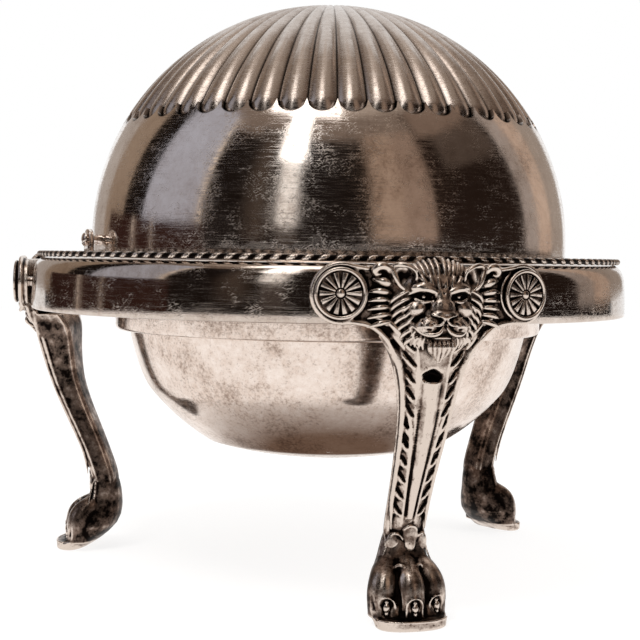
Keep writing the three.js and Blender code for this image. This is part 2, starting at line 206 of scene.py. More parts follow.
def silverPlate(name, s):
    material, tree, surface = newMaterial(name)
    place = addNode(tree, "ShaderNodeTexCoord").outputs["Object"]
    recess = addNode(tree, "ShaderNodeAttribute", attribute_name="recess").outputs["Fac"]
    handed = addNode(tree, "ShaderNodeAttribute", attribute_name="handed").outputs["Fac"]
    clouds = addNode(tree, "ShaderNodeTexNoise", {
        "Vector": place, "Scale": 1000 / s["tarnishSize"], "Detail": 8, "Roughness": 0.65}).outputs["Fac"]
    mottle = addNode(tree, "ShaderNodeTexNoise", {
        "Vector": place, "Scale": 9000 / s["tarnishSize"], "Detail": 6, "Roughness": 0.75}).outputs["Fac"]
    patches = addNode(tree, "ShaderNodeMix", {
        "Factor": s["mottleShare"], "A": clouds, "B": mottle}, data_type="FLOAT").outputs[0]
    lines = addNode(tree, "ShaderNodeTexNoise", {
        "Vector": turnedCoordinates(tree, s["scratchAround"], 1000 / s["scratchHeight"]),
        "Scale": 1, "Detail": 5, "Roughness": 0.75}).outputs["Fac"]
    specks = addNode(tree, "ShaderNodeTexNoise", {
        "Vector": place, "Scale": 1000 / s["speckSize"], "Detail": 5, "Roughness": 0.7}).outputs["Fac"]
    groups = addNode(tree, "ShaderNodeTexNoise", {
        "Vector": place, "Scale": 1000 / s["hairSpots"], "Detail": 3, "Roughness": 0.65}).outputs["Fac"]
    groups = addNode(tree, "ShaderNodeMapRange", {"Value": groups, "From Min": 0.45,
                                                  "From Max": 0.6}).outputs[0]
    hair = addNode(tree, "ShaderNodeMath", {0: hairlines(tree, s), 1: groups},
                   operation="MULTIPLY").outputs[0]
    # colour: patches, then specks that gather in them, then painted shade on the lobes and the oxide between
    # these
    colour = addNode(tree, "ShaderNodeValToRGB", {"Fac": patches}, stops=list(
        zip(s["patches"], (s["clean"], s["worn"], s["tarnish"])))).outputs["Color"]
    gather = addNode(tree, "ShaderNodeMapRange", {
        "Value": clouds, "From Min": 0.35, "From Max": 0.65, "To Min": -0.14, "To Max": 0.14}).outputs[0]
    dotted = addNode(tree, "ShaderNodeMath", {0: specks, 1: gather}, operation="ADD").outputs[0]
    low, high = s["speckRange"]
    dotted = addNode(tree, "ShaderNodeMapRange", {
        "Value": dotted, "From Min": low, "From Max": high, "To Max": s["speckAmount"]}).outputs[0]
    colour = addNode(tree, "ShaderNodeMix", {
        "Factor": dotted, "A": colour, "B": linear(s["speck"])}, data_type="RGBA").outputs["Result"]
    # painted shade on the lobes, where the handed attribute is set
    lobeShade = addNode(tree, "ShaderNodeMath", {0: handed, 1: s["lobeShadeShare"]}, operation="MULTIPLY").outputs[0]
    colour = addNode(tree, "ShaderNodeMix", {
        "Factor": lobeShade, "A": colour, "B": linear(s["lobeShade"])}, data_type="RGBA").outputs["Result"]
    oxide = addNode(tree, "ShaderNodeMapRange", {
        "Value": recess, "From Min": 0.1, "From Max": 0.9, "To Max": 0.96}).outputs[0]
    colour = addNode(tree, "ShaderNodeMix", {
        "Factor": oxide, "A": colour, "B": linear(s["oxide"])}, data_type="RGBA").outputs["Result"]
    # roughness: more on scratches, on tarnish, on hairlines and on the lobes
    rough = addNode(tree, "ShaderNodeMapRange", {
        "Value": lines, "From Min": 0.45, "From Max": 0.72,
        "To Min": s["roughness"], "To Max": s["roughnessScratch"]}).outputs[0]
    haze = addNode(tree, "ShaderNodeMapRange", {
        "Value": patches, "From Min": 0.45, "From Max": 0.75, "To Max": s["haze"]}).outputs[0]
    rough = addNode(tree, "ShaderNodeMath", {0: rough, 1: haze}, operation="ADD").outputs[0]
    for pattern, depth in ((hair, s["hairDepth"]), (handed, s["handed"])):
        more = addNode(tree, "ShaderNodeMath", {0: pattern, 1: depth}, operation="MULTIPLY").outputs[0]
        rough = addNode(tree, "ShaderNodeMath", {0: rough, 1: more}, operation="ADD").outputs[0]
    sunk = addNode(tree, "ShaderNodeMath", {0: hair, 1: 0.8}, operation="MULTIPLY").outputs[0]
    heights = addNode(tree, "ShaderNodeMath", {0: lines, 1: sunk}, operation="SUBTRACT").outputs[0]
    bump = addNode(tree, "ShaderNodeBump", {"Height": heights, "Strength": 1, "Distance": s["bump"] * mm})
    tree.links.new(colour, surface.inputs["Base Color"])
    tree.links.new(rough, surface.inputs["Roughness"])
    tree.links.new(bump.outputs[0], surface.inputs["Normal"])
    surface.inputs["Metallic"].default_value = 1
    return material


ringLook = dict(plateSettings, clean="#e2d9d2", worn="#c6b9af", roughnessScratch=0.24, haze=0.06)
bowlLook = dict(plateSettings, clean="#f8eee7", worn="#e2d2c7", tarnish="#a98f7e", tarnishSize=17,
                speckAmount=0.65, speckRange=(0.5, 0.74), roughness=0.09, roughnessScratch=0.26,
                hairDepth=0.15)
plate = silverPlate("silver plate, spun and polished", plateSettings)
ringPlate = silverPlate("silver plate, brushed by wear", ringLook)
bowlPlate = silverPlate("silver plate, spun and tarnished", bowlLook)


# Steps that many pieces share
def closedLine(bm, spots):
    verts = [bm.verts.new(spot) for spot in spots]
    return verts, [bm.edges.new(pair) for pair in zip(verts, verts[1:] + verts[:1])]


def turned(bm, outline, steps):
    # turns a closed outline of (reach, height) once round the z axis
    verts, edges = closedLine(bm, [(r, 0, z) for r, z in outline])
    bmesh.ops.spin(bm, geom=verts + edges, cent=(0, 0, 0), axis=(0, 0, 1),
                   angle=2 * math.pi, steps=steps, use_merge=True)


def extruded(bm, faces, vec):
    grown = bmesh.ops.extrude_face_region(bm, geom=faces)["geom"]
    moved = [g for g in grown if isinstance(g, bmesh.types.BMVert)]
    bmesh.ops.translate(bm, vec=vec, verts=moved)


def finishedMesh(bm, name):
    mesh = bpy.data.meshes.new(name)
    bm.to_mesh(mesh)
    bm.free()
    return mesh


def newObject(name, data):
    added = bpy.data.objects.new(name, data)
    bpy.context.scene.collection.objects.link(added)
    return added


# Shapes turned on the ring's axis
def arc(centre, radius, fromAngle, toAngle, steps):
    angles = [math.radians(fromAngle + (toAngle - fromAngle) * i / steps) for i in range(steps + 1)]
    return [(centre[0] + radius * math.cos(a), centre[1] + radius * math.sin(a)) for a in angles]


def bezier(a, b, c, steps):
    spots = [i / steps for i in range(steps + 1)]
    return [tuple((1 - t) ** 2 * p + 2 * t * (1 - t) * q + t * t * r for p, q, r in zip(a, b, c))
            for t in spots]


def spunMesh(outline, steps):
    bm = bmesh.new()
    turned(bm, outline, steps)
    bmesh.ops.remove_doubles(bm, verts=bm.verts, dist=1e-5)
    bmesh.ops.recalc_face_normals(bm, faces=bm.faces)
    return bm


def addPiece(name, bm, body, nodes, material, turn=0, sharp=35):
    # takes a bmesh in millimetres about the ring's axis, turned to its azimuth
    bmesh.ops.transform(bm, matrix=Matrix.Rotation(math.radians(turn), 4, "Z"), verts=bm.verts)
    bmesh.ops.translate(bm, vec=(0, axisY, 0), verts=bm.verts)
    bmesh.ops.scale(bm, vec=(mm, mm, mm), verts=bm.verts)
    mesh = finishedMesh(bm, name)
    mesh.shade_smooth()
    mesh.set_sharp_from_angle(angle=math.radians(sharp))
    mesh.materials.append(material)
    piece = newObject(name, mesh)
    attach(piece, body)
    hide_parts(*nodes)
    return piece


# Ring: upright band, rounded shoulder with a raised border for the rope, flat top inside it
ringSettings = {
    "outer": 96,
    "face": 0.12,           # the band's outside stands this much inside that
    "inner": 78.5,
    "sheet": 1.2,
    "lip": 0.9,             # rounding of the lower edge
    "bandTop": 5,           # the band ends this far below the ring's top
    "bends": ((8.7, 4, 26, 8), (4.9, 26, 88, 12)),      # radius, from and to tilt, steps
    "borderInner": 86.5,
    "steps": 256,
}


def rolled(start, bends):
    # carries a line on through arcs that follow each other without a corner
    line = [start]
    for radius, low, high, steps in bends:
        a = math.radians(low)
        centre = (line[-1][0] - radius * math.cos(a), line[-1][1] - radius * math.sin(a))
        line += arc(centre, radius, low, high, steps)[1:]
    return line


def makeRing(s):
    face = s["outer"] - s["face"]
    low = ringLow + s["lip"]
    first = s["bends"][0][1]
    bandRadius = (ringTop - s["bandTop"] - low) / math.sin(math.radians(first))
    outside = rolled((face, low), ((bandRadius, 0, first, 6),) + s["bends"])
    crest = outside[-1]
    middle = ((crest[0] + s["borderInner"]) / 2, (crest[1] + ringTop) / 2)
    inward = bezier(crest, (crest[0] - 1.2, crest[1]), middle, 5)[1:]
    inward += bezier(middle, (s["borderInner"] + 1, ringTop), (s["borderInner"], ringTop), 5)[1:]
    sheet = s["sheet"]
    outline = [(face - sheet, ringLow + 2), (face - sheet, ringLow + 0.15)]
    outline += arc((face - s["lip"], low), s["lip"], -90, 0, 8)[:-1] + outside + inward
    outline += [(s["inner"] + 0.3, ringTop), (s["inner"], ringTop - 0.3), (s["inner"], ringTop - sheet)]
    outline += [(r, z - sheet) for r, z in inward[::-2]]
    outline += [(crest[0], crest[1] - sheet), (crest[0] + 2.4, crest[1] - sheet - 0.9)]
    outline += [(r - sheet, z) for r, z in outside[14:2:-3]]
    addPiece("ring", spunMesh(outline, s["steps"]), "stand", ["rim_band"], ringPlate)


makeRing(ringSettings)
print("ring made")


# Bowl collar and ice bowl
bowlSettings = {
    "collarOuter": collarHigh.x / mm,
    "step": 4.6,
    "wall": 1.2,
    "seatHole": 61,
    "roll": 1.4,            # rounding of the collar's lower edge
    "reach": 74.8,          # the bowl's side lies this far from the middle of the pivot line
    "neckBend": 6.5,        # length of the bend from the neck into the round side
    "sideAngle": 50,        # degrees from straight down, where the round side begins
    "flatAngle": 31.5,      # and where it ends
    "bottomEase": 0.55,     # share of the way in at which the bottom is flat
    "steps": 256,
}


def bowlSide(s, wall):
    bottom = bowlLow.z / mm + wall
    side = arc((0, pivotZ), s["reach"] - wall, s["sideAngle"] - 90, s["flatAngle"] - 90, 16)
    edge = side[-1]
    return side + bezier(edge, (edge[0] * s["bottomEase"], bottom), (0, bottom), 12)[1:]


def bowlTop(s, neck, low, wall):
    # from under the collar's top, in a round line down to the side
    a = math.radians(s["sideAngle"] - 90)
    reach = s["reach"] - wall
    end = Vector((reach * math.cos(a), pivotZ + reach * math.sin(a)))
    bend = end + Vector((-math.sin(a), math.cos(a))) * s["neckBend"]
    start = (neck - wall, low - 0.2)
    return [(neck - wall, ringTop - s["wall"] - 0.3)] + bezier(start, tuple(bend), tuple(end), 14)[:-1]


def makeBowl(s):
    low = collarLow.z / mm
    neck = s["collarOuter"] - s["step"]
    wall = s["wall"]
    collar = [(s["seatHole"], ringTop - wall), (s["collarOuter"] - wall, ringTop - wall),
              (s["collarOuter"] - wall, low + wall), (neck + 0.3, low + wall), (neck + 0.3, low)]
    collar += arc((s["collarOuter"] - s["roll"], low + s["roll"]), s["roll"], -90, 0, 6)
    collar += arc((s["collarOuter"] - 0.4, ringTop - 0.4), 0.4, 0, 90, 3)
    collar += [(s["seatHole"], ringTop)]
    addPiece("bowlCollar", spunMesh(collar, s["steps"]), "stand", ["bowl_collar"], bowlPlate)
    outside = bowlTop(s, neck, low, 0) + bowlSide(s, 0)
    inside = bowlTop(s, neck, low, wall) + bowlSide(s, wall)
    bowl = spunMesh(outside[::-1] + inside, s["steps"])
    addPiece("iceBowl", bowl, "stand", ["ice_bowl"], bowlPlate)


makeBowl(bowlSettings)
print("bowl made")


# Lid: an outer skin with lobes pushed out of it, and a plain inside
lidSettings = {
    "wall": 1.2,
    "lobes": 48,
    "perLobe": 12,          # steps across each lobe
    "lobeEnd": 67.6,        # distance of the lobes' round ends from the upright axis
    "depth": 1.75,          # of the grooves between the lobes
    "skin": 0.3,            # sheet left under the grooves
    "crown": 3.5,           # plain button at the very top
    "endPull": 8.5,         # degrees over which rows bend round the lobes' ends
    "grimeFrom": 0.84,      # share of the way to the groove's bottom where oxide begins
    "rimWidth": 0.45,       # width of the wall of the groove outside the lobes
}


def lidArc(s):
    lowest = math.degrees(math.asin((lidLow.z / mm - pivotZ) / lidRadius))
    lobeSpan = 2 * math.pi * s["lobeEnd"] / s["lobes"]
    endTurn = math.degrees(math.acos(s["lobeEnd"] / lidRadius))
    perDegree = lidRadius * math.pi / 180
    middle = endTurn + lobeSpan / 4 / perDegree
    offsets = [-1.5, -0.9, -0.5, -0.28, -0.12, 0, 0.15, 0.4, 0.7, 1.1, 1.6, 2.2, 3, 4]
    near = [middle + o / perDegree for o in offsets]
    below = list(np.linspace(lowest, near[0] - 1.5, 18))
    above = list(np.linspace(near[-1] + 1.2, 88.6, 34))
    return below + near + above, middle, lobeSpan


def flute(bm, s, middle, lobeSpan):
    half = lobeSpan / 2
    perDegree = lidRadius * math.pi / 180
    lobeEnd = middle - half / 2 / perDegree
    recess = bm.verts.layers.float.new("recess")
    handed = bm.verts.layers.float.new("handed")
    for v in bm.verts:
        reach = math.hypot(v.co.x, v.co.y)
        if reach < 0.5:     # the middle of the crown stays
            continue
        away = v.co - Vector((0, 0, pivotZ))
        outer = away.length > lidRadius - s["wall"] / 2
        rise = math.degrees(math.asin(away.z / away.length))
        turn = math.degrees(math.atan2(v.co.x, -v.co.y)) * s["lobes"] / 360
        across = abs(turn - math.floor(turn) - 0.5) * 2
        edge = lobeEnd + (half - half * math.sqrt(max(0, 1 - across ** 2))) / perDegree
        pull = max(0, 1 - (abs(rise - middle) / s["endPull"]) ** 2) ** 2
        newRise = rise + (edge - middle) * pull
        past = (middle - rise) * perDegree
        width = 2 * math.pi * max(math.cos(math.radians(newRise)) * lidRadius, 1e-3) / s["lobes"]
        depth = s["depth"] * min(1, width / lobeSpan * 1.25) * min(1, max(0, (reach - s["crown"]) / 6))
        if past > 0:
            sink = depth * max(0, 1 - past / s["rimWidth"])
            grime = max(0, 1 - past / (s["rimWidth"] * 2.2))
        else:
            inward = (newRise - lobeEnd) * perDegree
            fromEnd = max(0, half - inward) / half
            spot = min(1, math.hypot(across, fromEnd))
            sink = depth * spot ** 2
            grime = max(0, spot - s["grimeFrom"]) / (1 - s["grimeFrom"])
        if outer:
            level = lidRadius - sink
            v[recess] = grime * min(1, width / lobeSpan + 0.15)
            v[handed] = 1 if past <= 0 else 0
        else:
            level = min(away.length, lidRadius - sink - s["skin"])
        a = math.radians(newRise)
        out = Vector((v.co.x, v.co.y, 0)).normalized()
        v.co = out * math.cos(a) * level + Vector((0, 0, pivotZ + math.sin(a) * level))


def makeLid(s):
    rises, middle, lobeSpan = lidArc(s)
    inner = lidRadius - s["wall"]
    lowest = math.degrees(math.asin((lidLow.z / mm - pivotZ) / inner))
    outline = [(lidRadius * math.cos(math.radians(a)), pivotZ + lidRadius * math.sin(math.radians(a)))
               for a in rises]
    outline += [(0, pivotZ + lidRadius), (0, pivotZ + inner)]
    turns = [a for a in rises[::-1] if a > rises[0] + 2][::2] + [lowest]
    outline += [(inner * math.cos(math.radians(a)), pivotZ + inner * math.sin(math.radians(a)))
                for a in turns]
    bm = spunMesh(outline, s["lobes"] * s["perLobe"])
    flute(bm, s, middle, lobeSpan)
    addPiece("lid", bm, "lid", ["dome_lid"], plate, sharp=70)


makeLid(lidSettings)
print("lid made")


# Castings: closed lumps and tapered strokes are fused into one skin, cut, and bent round the band.
# They are laid out flat: x across the leg, out from the ring's axis, z up, in millimetres.
castSettings = {
    "bendRadius": 99,
    "level": 0.36,          # oxide on a plain spot, of a full recess
    "fineReach": 5,         # smoothing steps that find narrow recesses
    "fineScale": 0.09,      # millimetres below the smoothed skin that count as a full recess
    "wideReach": 30,        # and the same for wide ones
    "wideScale": 0.55,
    "skinShare": 0.28,      # share of each in the oxide
    "flatReach": 14,        # smoothing steps on the flat parts
    "flatFrom": 0.03,       # relief from which they fade, and at which they end
    "flatTo": 0.08,
    "rays": 8,              # looks round from each spot, to see how closed in it is, for painted shade
    "rayReach": 4.5,
    "rayFrom": 0.06,
    "footShade": 0.17,      # painted shade, darker below this height
    "footShadeTop": 29,
    "sideShade": 0.24,      # and painted shade on the sides and back of the leg
    "sideShadeTop": 80,
    "soleTop": 2.7,         # the painted shade stops above the sole's edge
}


def lump(bm, centre, radii, tilt=0, detail=4):
    x, out, z = centre
    place = Matrix.Translation((x, -out, z)) @ Matrix.Rotation(math.radians(tilt), 4, "Y")
    size = Matrix.Diagonal((radii[0], radii[1], radii[2], 1))
    bmesh.ops.create_icosphere(bm, subdivisions=detail, radius=1, matrix=place @ size)


def mirrored(paths):
    # each path and its mirror image across the middle of the leg
    return paths + [[(-x, *rest) for x, *rest in path] for path in paths]


def addStrokes(bm, paths, sides=3):
    # each path is a row of (x, out, z, radius)
    curve = bpy.data.curves.new("strokes", "CURVE")
    curve.dimensions = "3D"
    curve.bevel_depth = 1
    curve.bevel_resolution = sides
    curve.use_fill_caps = True
    for path in paths:
        spline = curve.splines.new("NURBS")
        spline.points.add(len(path) - 1)
        spline.order_u = 3
        spline.use_endpoint_u = True
        spline.resolution_u = 5
        for point, (x, out, z, radius) in zip(spline.points, path):
            point.co = (x, -out, z, 1)
            point.radius = radius
    holder = bpy.data.objects.new("strokes", curve)
    mesh = bpy.data.meshes.new_from_object(holder)
    bm.from_mesh(mesh)
    bpy.data.objects.remove(holder)
    bpy.data.curves.remove(curve)
    bpy.data.meshes.remove(mesh)


def fused(bm, voxel):
    mesh = finishedMesh(bm, "lumps")
    holder = newObject("lumps", mesh)
    skin = holder.modifiers.new("skin", "REMESH")
    skin.mode = "VOXEL"
    skin.voxel_size = voxel
    depsgraph = bpy.context.evaluated_depsgraph_get()
    result = bpy.data.meshes.new_from_object(holder.evaluated_get(depsgraph))
    bpy.data.objects.remove(holder)
    bpy.data.meshes.remove(mesh)
    return result


def readSkin(mesh):
    count = len(mesh.vertices)
    spots = np.empty(count * 3)
    mesh.vertices.foreach_get("co", spots)
    normals = np.empty(count * 3, np.float32)
    mesh.vertex_normals.foreach_get("vector", normals)
    edges = np.empty(len(mesh.edges) * 2, np.int32)
    mesh.edges.foreach_get("vertices", edges)
    return spots.reshape(-1, 3), normals.reshape(-1, 3).astype(float), edges.reshape(-1, 2)


def writeSkin(mesh, spots):
    mesh.vertices.foreach_set("co", spots.astype(np.float32).ravel())
    mesh.update()


def relaxed(spots, edges, steps, share=1.0):
    count = len(spots)
    ends = np.concatenate([edges[:, 0], edges[:, 1]])
    others = np.concatenate([edges[:, 1], edges[:, 0]])
    near = np.bincount(ends, minlength=count)[:, None]
    for step in range(steps):
        total = np.stack([np.bincount(ends, spots[others, i], count) for i in range(3)], 1)
        spots = spots + (total / near - spots) * share
    return spots


def carve(mesh, cuts):
    # pushes the skin in round each path of (x, out, z, radius, depth); a negative depth raises it
    spots, normals = readSkin(mesh)[:2]
    for cut in cuts:
        rows = np.array(cut, float)
        ends = np.arange(len(rows))
        fine = np.linspace(0, len(rows) - 1, max(1, (len(rows) - 1) * 5 + 1))
        rows = np.stack([np.interp(fine, ends, rows[:, i]) for i in range(5)], 1)
        middle = rows[:, :3] * (1, -1, 1)
        reach = rows[:, 3].max()
        box = ((spots > middle.min(0) - reach) & (spots < middle.max(0) + reach)).all(1)
        near = np.flatnonzero(box)
        away = np.linalg.norm(spots[near, None] - middle[None], axis=2) / rows[:, 3]
        depth = ((1 - np.minimum(away, 1) ** 2) ** 2 * rows[:, 4])
        best = np.abs(depth).argmax(1)
        push = depth[np.arange(len(near)), best]
        spots[near] -= normals[near] * push[:, None]
    writeSkin(mesh, spots)


def smoothCasting(mesh, s, smoothing, share=0.5):
    # rounds the skin a little everywhere, and more where it is nearly flat
    spots, normals, edges = readSkin(mesh)
    kept = relaxed(spots, edges, smoothing, share)
    flat = relaxed(spots, edges, s["flatReach"])
    moved = np.abs(((flat - kept) * normals).sum(1))
    share = np.clip((moved - s["flatFrom"]) / (s["flatTo"] - s["flatFrom"]), 0, 1)
    share = relaxed(np.repeat(share[:, None], 3, 1), edges, 4)
    writeSkin(mesh, flat + (kept - flat) * share)


def noteRecess(mesh, s, tree):
    # oxide by how deep each spot lies in a recess; painted shade by how much its neighbours close it in,
    # low on the leg, and on its sides and back
    spots, normals, edges = readSkin(mesh)
    fine = ((relaxed(spots, edges, s["fineReach"]) - spots) * normals).sum(1) / s["fineScale"]
    wide = ((relaxed(spots, edges, s["wideReach"]) - spots) * normals).sum(1) / s["wideScale"]
    # painted shade: how closed in each spot is, from rays cast round it
    occlusionShade = np.zeros(len(spots))
    rays = [Vector((math.cos(2.4 * i) * r, math.sin(2.4 * i) * r, math.sqrt(1 - r * r)))
            for i, r in enumerate(np.sqrt((np.arange(s["rays"]) + 0.5) / s["rays"]) * 0.95)]
    reach = s["rayReach"]
    for i in range(len(spots)):
        ahead = Vector(normals[i])
        turn = ahead.to_track_quat("Z", "Y")
        start = Vector(spots[i]) + ahead * s["rayFrom"]
        for ray in rays:
            distance = tree.ray_cast(start, turn @ ray, reach)[3]
            if distance is not None:
                occlusionShade[i] += 1 - distance / reach
    occlusionShade /= s["rays"]
    level = s["level"] + s["skinShare"] * (np.clip(wide, -1, 1) + np.clip(fine, -1, 1)) + occlusionShade
    # painted shade low on the leg and on its sides and back, stopping above the sole's edge
    heights = spots[:, 2]
    half = np.interp(heights, fineRows[:, 0], fineRows[:, 3])
    backwards = normals[:, 1]
    outer = np.clip((np.abs(spots[:, 0]) / half - 0.75) / 0.2, 0, 1)
    behind = np.clip((backwards + 0.1) / 0.3, 0, 1)
    side = np.clip((backwards + 0.45) / 0.35, 0, 1) * np.maximum(outer, behind)
    side *= np.clip((s["sideShadeTop"] - heights) / 4, 0, 1)
    foot = np.clip((s["footShadeTop"] - heights) / 5, 0, 1)
    overSole = np.clip((heights - s["soleTop"]) / 0.6, 0, 1)
    level += (s["footShade"] * foot + s["sideShade"] * side * (1 - 0.4 * foot)) * overSole
    note = mesh.attributes.new("recess", "FLOAT", "POINT")
    note.data.foreach_set("value", np.clip(level, 0, 1).astype(np.float32))


def bendCasting(mesh):
    spots = readSkin(mesh)[0]
    out = -spots[:, 1]
    turn = spots[:, 0] / out
    writeSkin(mesh, np.stack([out * np.sin(turn), -out * np.cos(turn), spots[:, 2]], 1))


def joinedTree(parts):
    # one search tree over several (mesh, shift across) parts
    verts, faces = [], []
    for mesh, shift in parts:
        start = len(verts)
        verts += [v.co + Vector((shift, 0, 0)) for v in mesh.vertices]
        faces += [[start + i for i in p.vertices] for p in mesh.polygons]
    return BVHTree.FromPolygons(verts, faces)


def addCasting(name, mesh, turn, nodes, material):
    place = Matrix.Translation((0, axisY * mm, 0)) @ Matrix.Rotation(math.radians(turn), 4, "Z")
    copy = mesh.copy()
    copy.name = name
    copy.transform(place @ Matrix.Diagonal((mm, mm, mm, 1)))
    copy.shade_smooth()
    copy.materials.append(material)
    piece = newObject(name, copy)
    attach(piece, "stand")
    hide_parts(*nodes)
    return piece


# Cast mounts: silvered brass poured in a mould and tumbled, so that the high points are bright
# and the recesses keep a dark oxide; the same ramp also darkens them with painted shade
castLook = {
    "high": "#e0d4ca",
    "middle": "#7c6b61",
    "deep": "#120d0b",
    "stops": (0.3, 0.54, 0.74),     # shares of a full recess at these three colours
    "stainSize": 5,         # millimetres across a stain
    "stainRange": (-0.16, 0.28),
    "pitSize": 0.7,
    "pitDepth": 0.3,
    "grain": 0.6,           # millimetres between the ripples of the cast skin
    "bump": 0.035,          # and their height
    "roughness": 0.2,
    "roughnessDeep": 0.5,
}


def castSilver(name, s):
    material, tree, surface = newMaterial(name)
    place = addNode(tree, "ShaderNodeTexCoord").outputs["Object"]
    recess = addNode(tree, "ShaderNodeAttribute", attribute_name="recess").outputs["Fac"]
    stain = addNode(tree, "ShaderNodeTexNoise", {
        "Vector": place, "Scale": 1000 / s["stainSize"], "Detail": 7, "Roughness": 0.7}).outputs["Fac"]
    pits = addNode(tree, "ShaderNodeTexNoise", {
        "Vector": place, "Scale": 1000 / s["pitSize"], "Detail": 4, "Roughness": 0.6}).outputs["Fac"]
    pits = addNode(tree, "ShaderNodeMapRange", {
        "Value": pits, "From Min": 0.58, "From Max": 0.68, "To Max": s["pitDepth"]}).outputs[0]
    stained = addNode(tree, "ShaderNodeMapRange", {"Value": stain, "From Min": 0.4,
                                                   "From Max": 0.6}).outputs[0]
    pits = addNode(tree, "ShaderNodeMath", {0: pits, 1: stained}, operation="MULTIPLY").outputs[0]
    low, high = s["stainRange"]
    stain = addNode(tree, "ShaderNodeMapRange", {
        "Value": stain, "From Min": 0.32, "From Max": 0.7, "To Min": low, "To Max": high}).outputs[0]
    # the recess attribute holds oxide in hollows and painted shade
    level = addNode(tree, "ShaderNodeMath", {0: recess, 1: stain}, operation="ADD").outputs[0]
    level = addNode(tree, "ShaderNodeMath", {0: level, 1: pits}, operation="ADD", use_clamp=True).outputs[0]
    colour = addNode(tree, "ShaderNodeValToRGB", {"Fac": level}, stops=list(
        zip(s["stops"], (s["high"], s["middle"], s["deep"])))).outputs["Color"]
    rough = addNode(tree, "ShaderNodeMapRange", {
        "Value": level, "From Min": 0.3, "From Max": 0.9,
        "To Min": s["roughness"], "To Max": s["roughnessDeep"]}).outputs[0]
    ripples = addNode(tree, "ShaderNodeTexNoise", {
        "Vector": place, "Scale": 1000 / s["grain"], "Detail": 3, "Roughness": 0.65}).outputs["Fac"]
    bump = addNode(tree, "ShaderNodeBump", {"Height": ripples, "Strength": 1, "Distance": s["bump"] * mm})
    tree.links.new(colour, surface.inputs["Base Color"])
    tree.links.new(rough, surface.inputs["Roughness"])
    tree.links.new(bump.outputs[0], surface.inputs["Normal"])
    surface.inputs["Metallic"].default_value = 1
    return material


castMetal = castSilver("cast mounts, silvered brass with dark oxide", castLook)


# Leg: rows of height, front, back and half width, drawn from the ankle up
shankRows = [
    (18.5, 79.6, 72.0, 4.9),
    (22, 80.4, 71.3, 5.6),
    (26, 81.3, 71.8, 5.8),
    (31, 83.0, 73.6, 5.7),
    (37, 85.6, 76, 5.8),
    (43, 88.5, 78.6, 6.1),
    (49, 91.4, 81.3, 6.5),
    (57, 94.9, 84.2, 7.1),
    (63, 96.8, 85.2, 7.7),
    (69, 98.4, 85.8, 8.8),
    (73, 99.2, 86, 10.2),
    (77.5, 99.8, 87, 12.6),
    (81, 99.8, 89.4, 15.2),
]
legSettings = {
    "voxel": 0.285,         # grain of the fused skin
    "floor": 1.2,           # the leaf bands lie this far behind the middle rib
    "ribHalf": ((28, 0.8), (33, 1.15), (48, 1.95), (58, 2.45), (68.6, 2.9)),    # heights and half widths
    "ribTop": 68.6,         # the rib begins under a hollow at this height
    "ridge": 0.38,
    "bandTop": 80,          # the leaf bands reach from here down
    "bandLow": 27,
    "barbPitch": 4.7,
    "barbRadius": 0.74,
    "armOut": 98.7,         # front and back of the plate behind mask and rosettes
    "armInner": 97.05,
    "discOut": 99.6,
    "armTop": 98.2,
    "rosetteX": 25.6,
    "rosetteZ": 90.9,
    "rosetteRadius": 7.1,
    "edgeRadius": 0.75,
}


def smoothRows(rows, step=1.5):
    # the same heights and sizes at close steps, with the corners between the rows rounded
    table = np.array(rows, float)
    heights = np.arange(table[0, 0], table[-1, 0] + 0.01, step)
    weights = np.array([1, 2, 3, 2, 1]) / 9
    columns = [heights]
    for i in range(1, table.shape[1]):
        values = np.interp(heights, table[:, 0], table[:, i])
        values = np.convolve(np.pad(values, 2, mode="reflect", reflect_type="odd"), weights, "valid")
        columns.append(values)
    return np.stack(columns, 1)


fineRows = smoothRows(shankRows)


def row(z):
    return [float(np.interp(z, fineRows[:, 0], fineRows[:, i])) for i in (1, 2, 3)]


def ribHalf(z):
    heights, halves = zip(*legSettings["ribHalf"])
    return float(np.interp(z, heights, halves))


def sectionSide(depth, s):
    # from the middle of the front round to the back, as shares of the half width and depths
    f = s["floor"]
    return [(0.42, f + 0.1), (0.62, f + 0.6), (0.8, f + 1.35), (0.87, f + 0.75), (0.96, f + 1.15),
            (1, f + 1.9), (1.02, f + 2.6), (0.92, f + (depth - f) * 0.6), (0.76, depth - 1.1),
            (0.52, depth - 0.2), (0.25, depth)]


def frontAt(x, z):
    front, back, half = row(z)
    side = [(0, legSettings["floor"])] + sectionSide(front - back, legSettings)[:6]
    return front - float(np.interp(abs(x) / half, [p[0] for p in side], [p[1] for p in side]))


def lofted(bm, rings):
    # closed skin over rings of spots, from the lowest to the highest
    previous = []
    for ring in rings:
        edges = closedLine(bm, ring)[1]
        if previous:
            bmesh.ops.bridge_loops(bm, edges=previous + edges)
        else:
            bmesh.ops.contextual_create(bm, geom=edges)
        previous = edges
    bmesh.ops.contextual_create(bm, geom=previous)


def makeShank(bm, s):
    rings = []
    for z, front, back, half in fineRows:
        side = sectionSide(front - back, s)
        points = [(0, s["floor"])] + side + [(0, front - back)] + [(-x, drop) for x, drop in reversed(side)]
        rings.append([(x * half, drop - front, z) for x, drop in points])
    lofted(bm, rings)


def armOutline(s):
    # lower edge of the arm, from the rosette in towards the shank
    return [(s["rosetteX"], 83.9), (20.8, 83.4), (17.2, 82.6), (14.6, 80.6), (13.4, 79.2)]


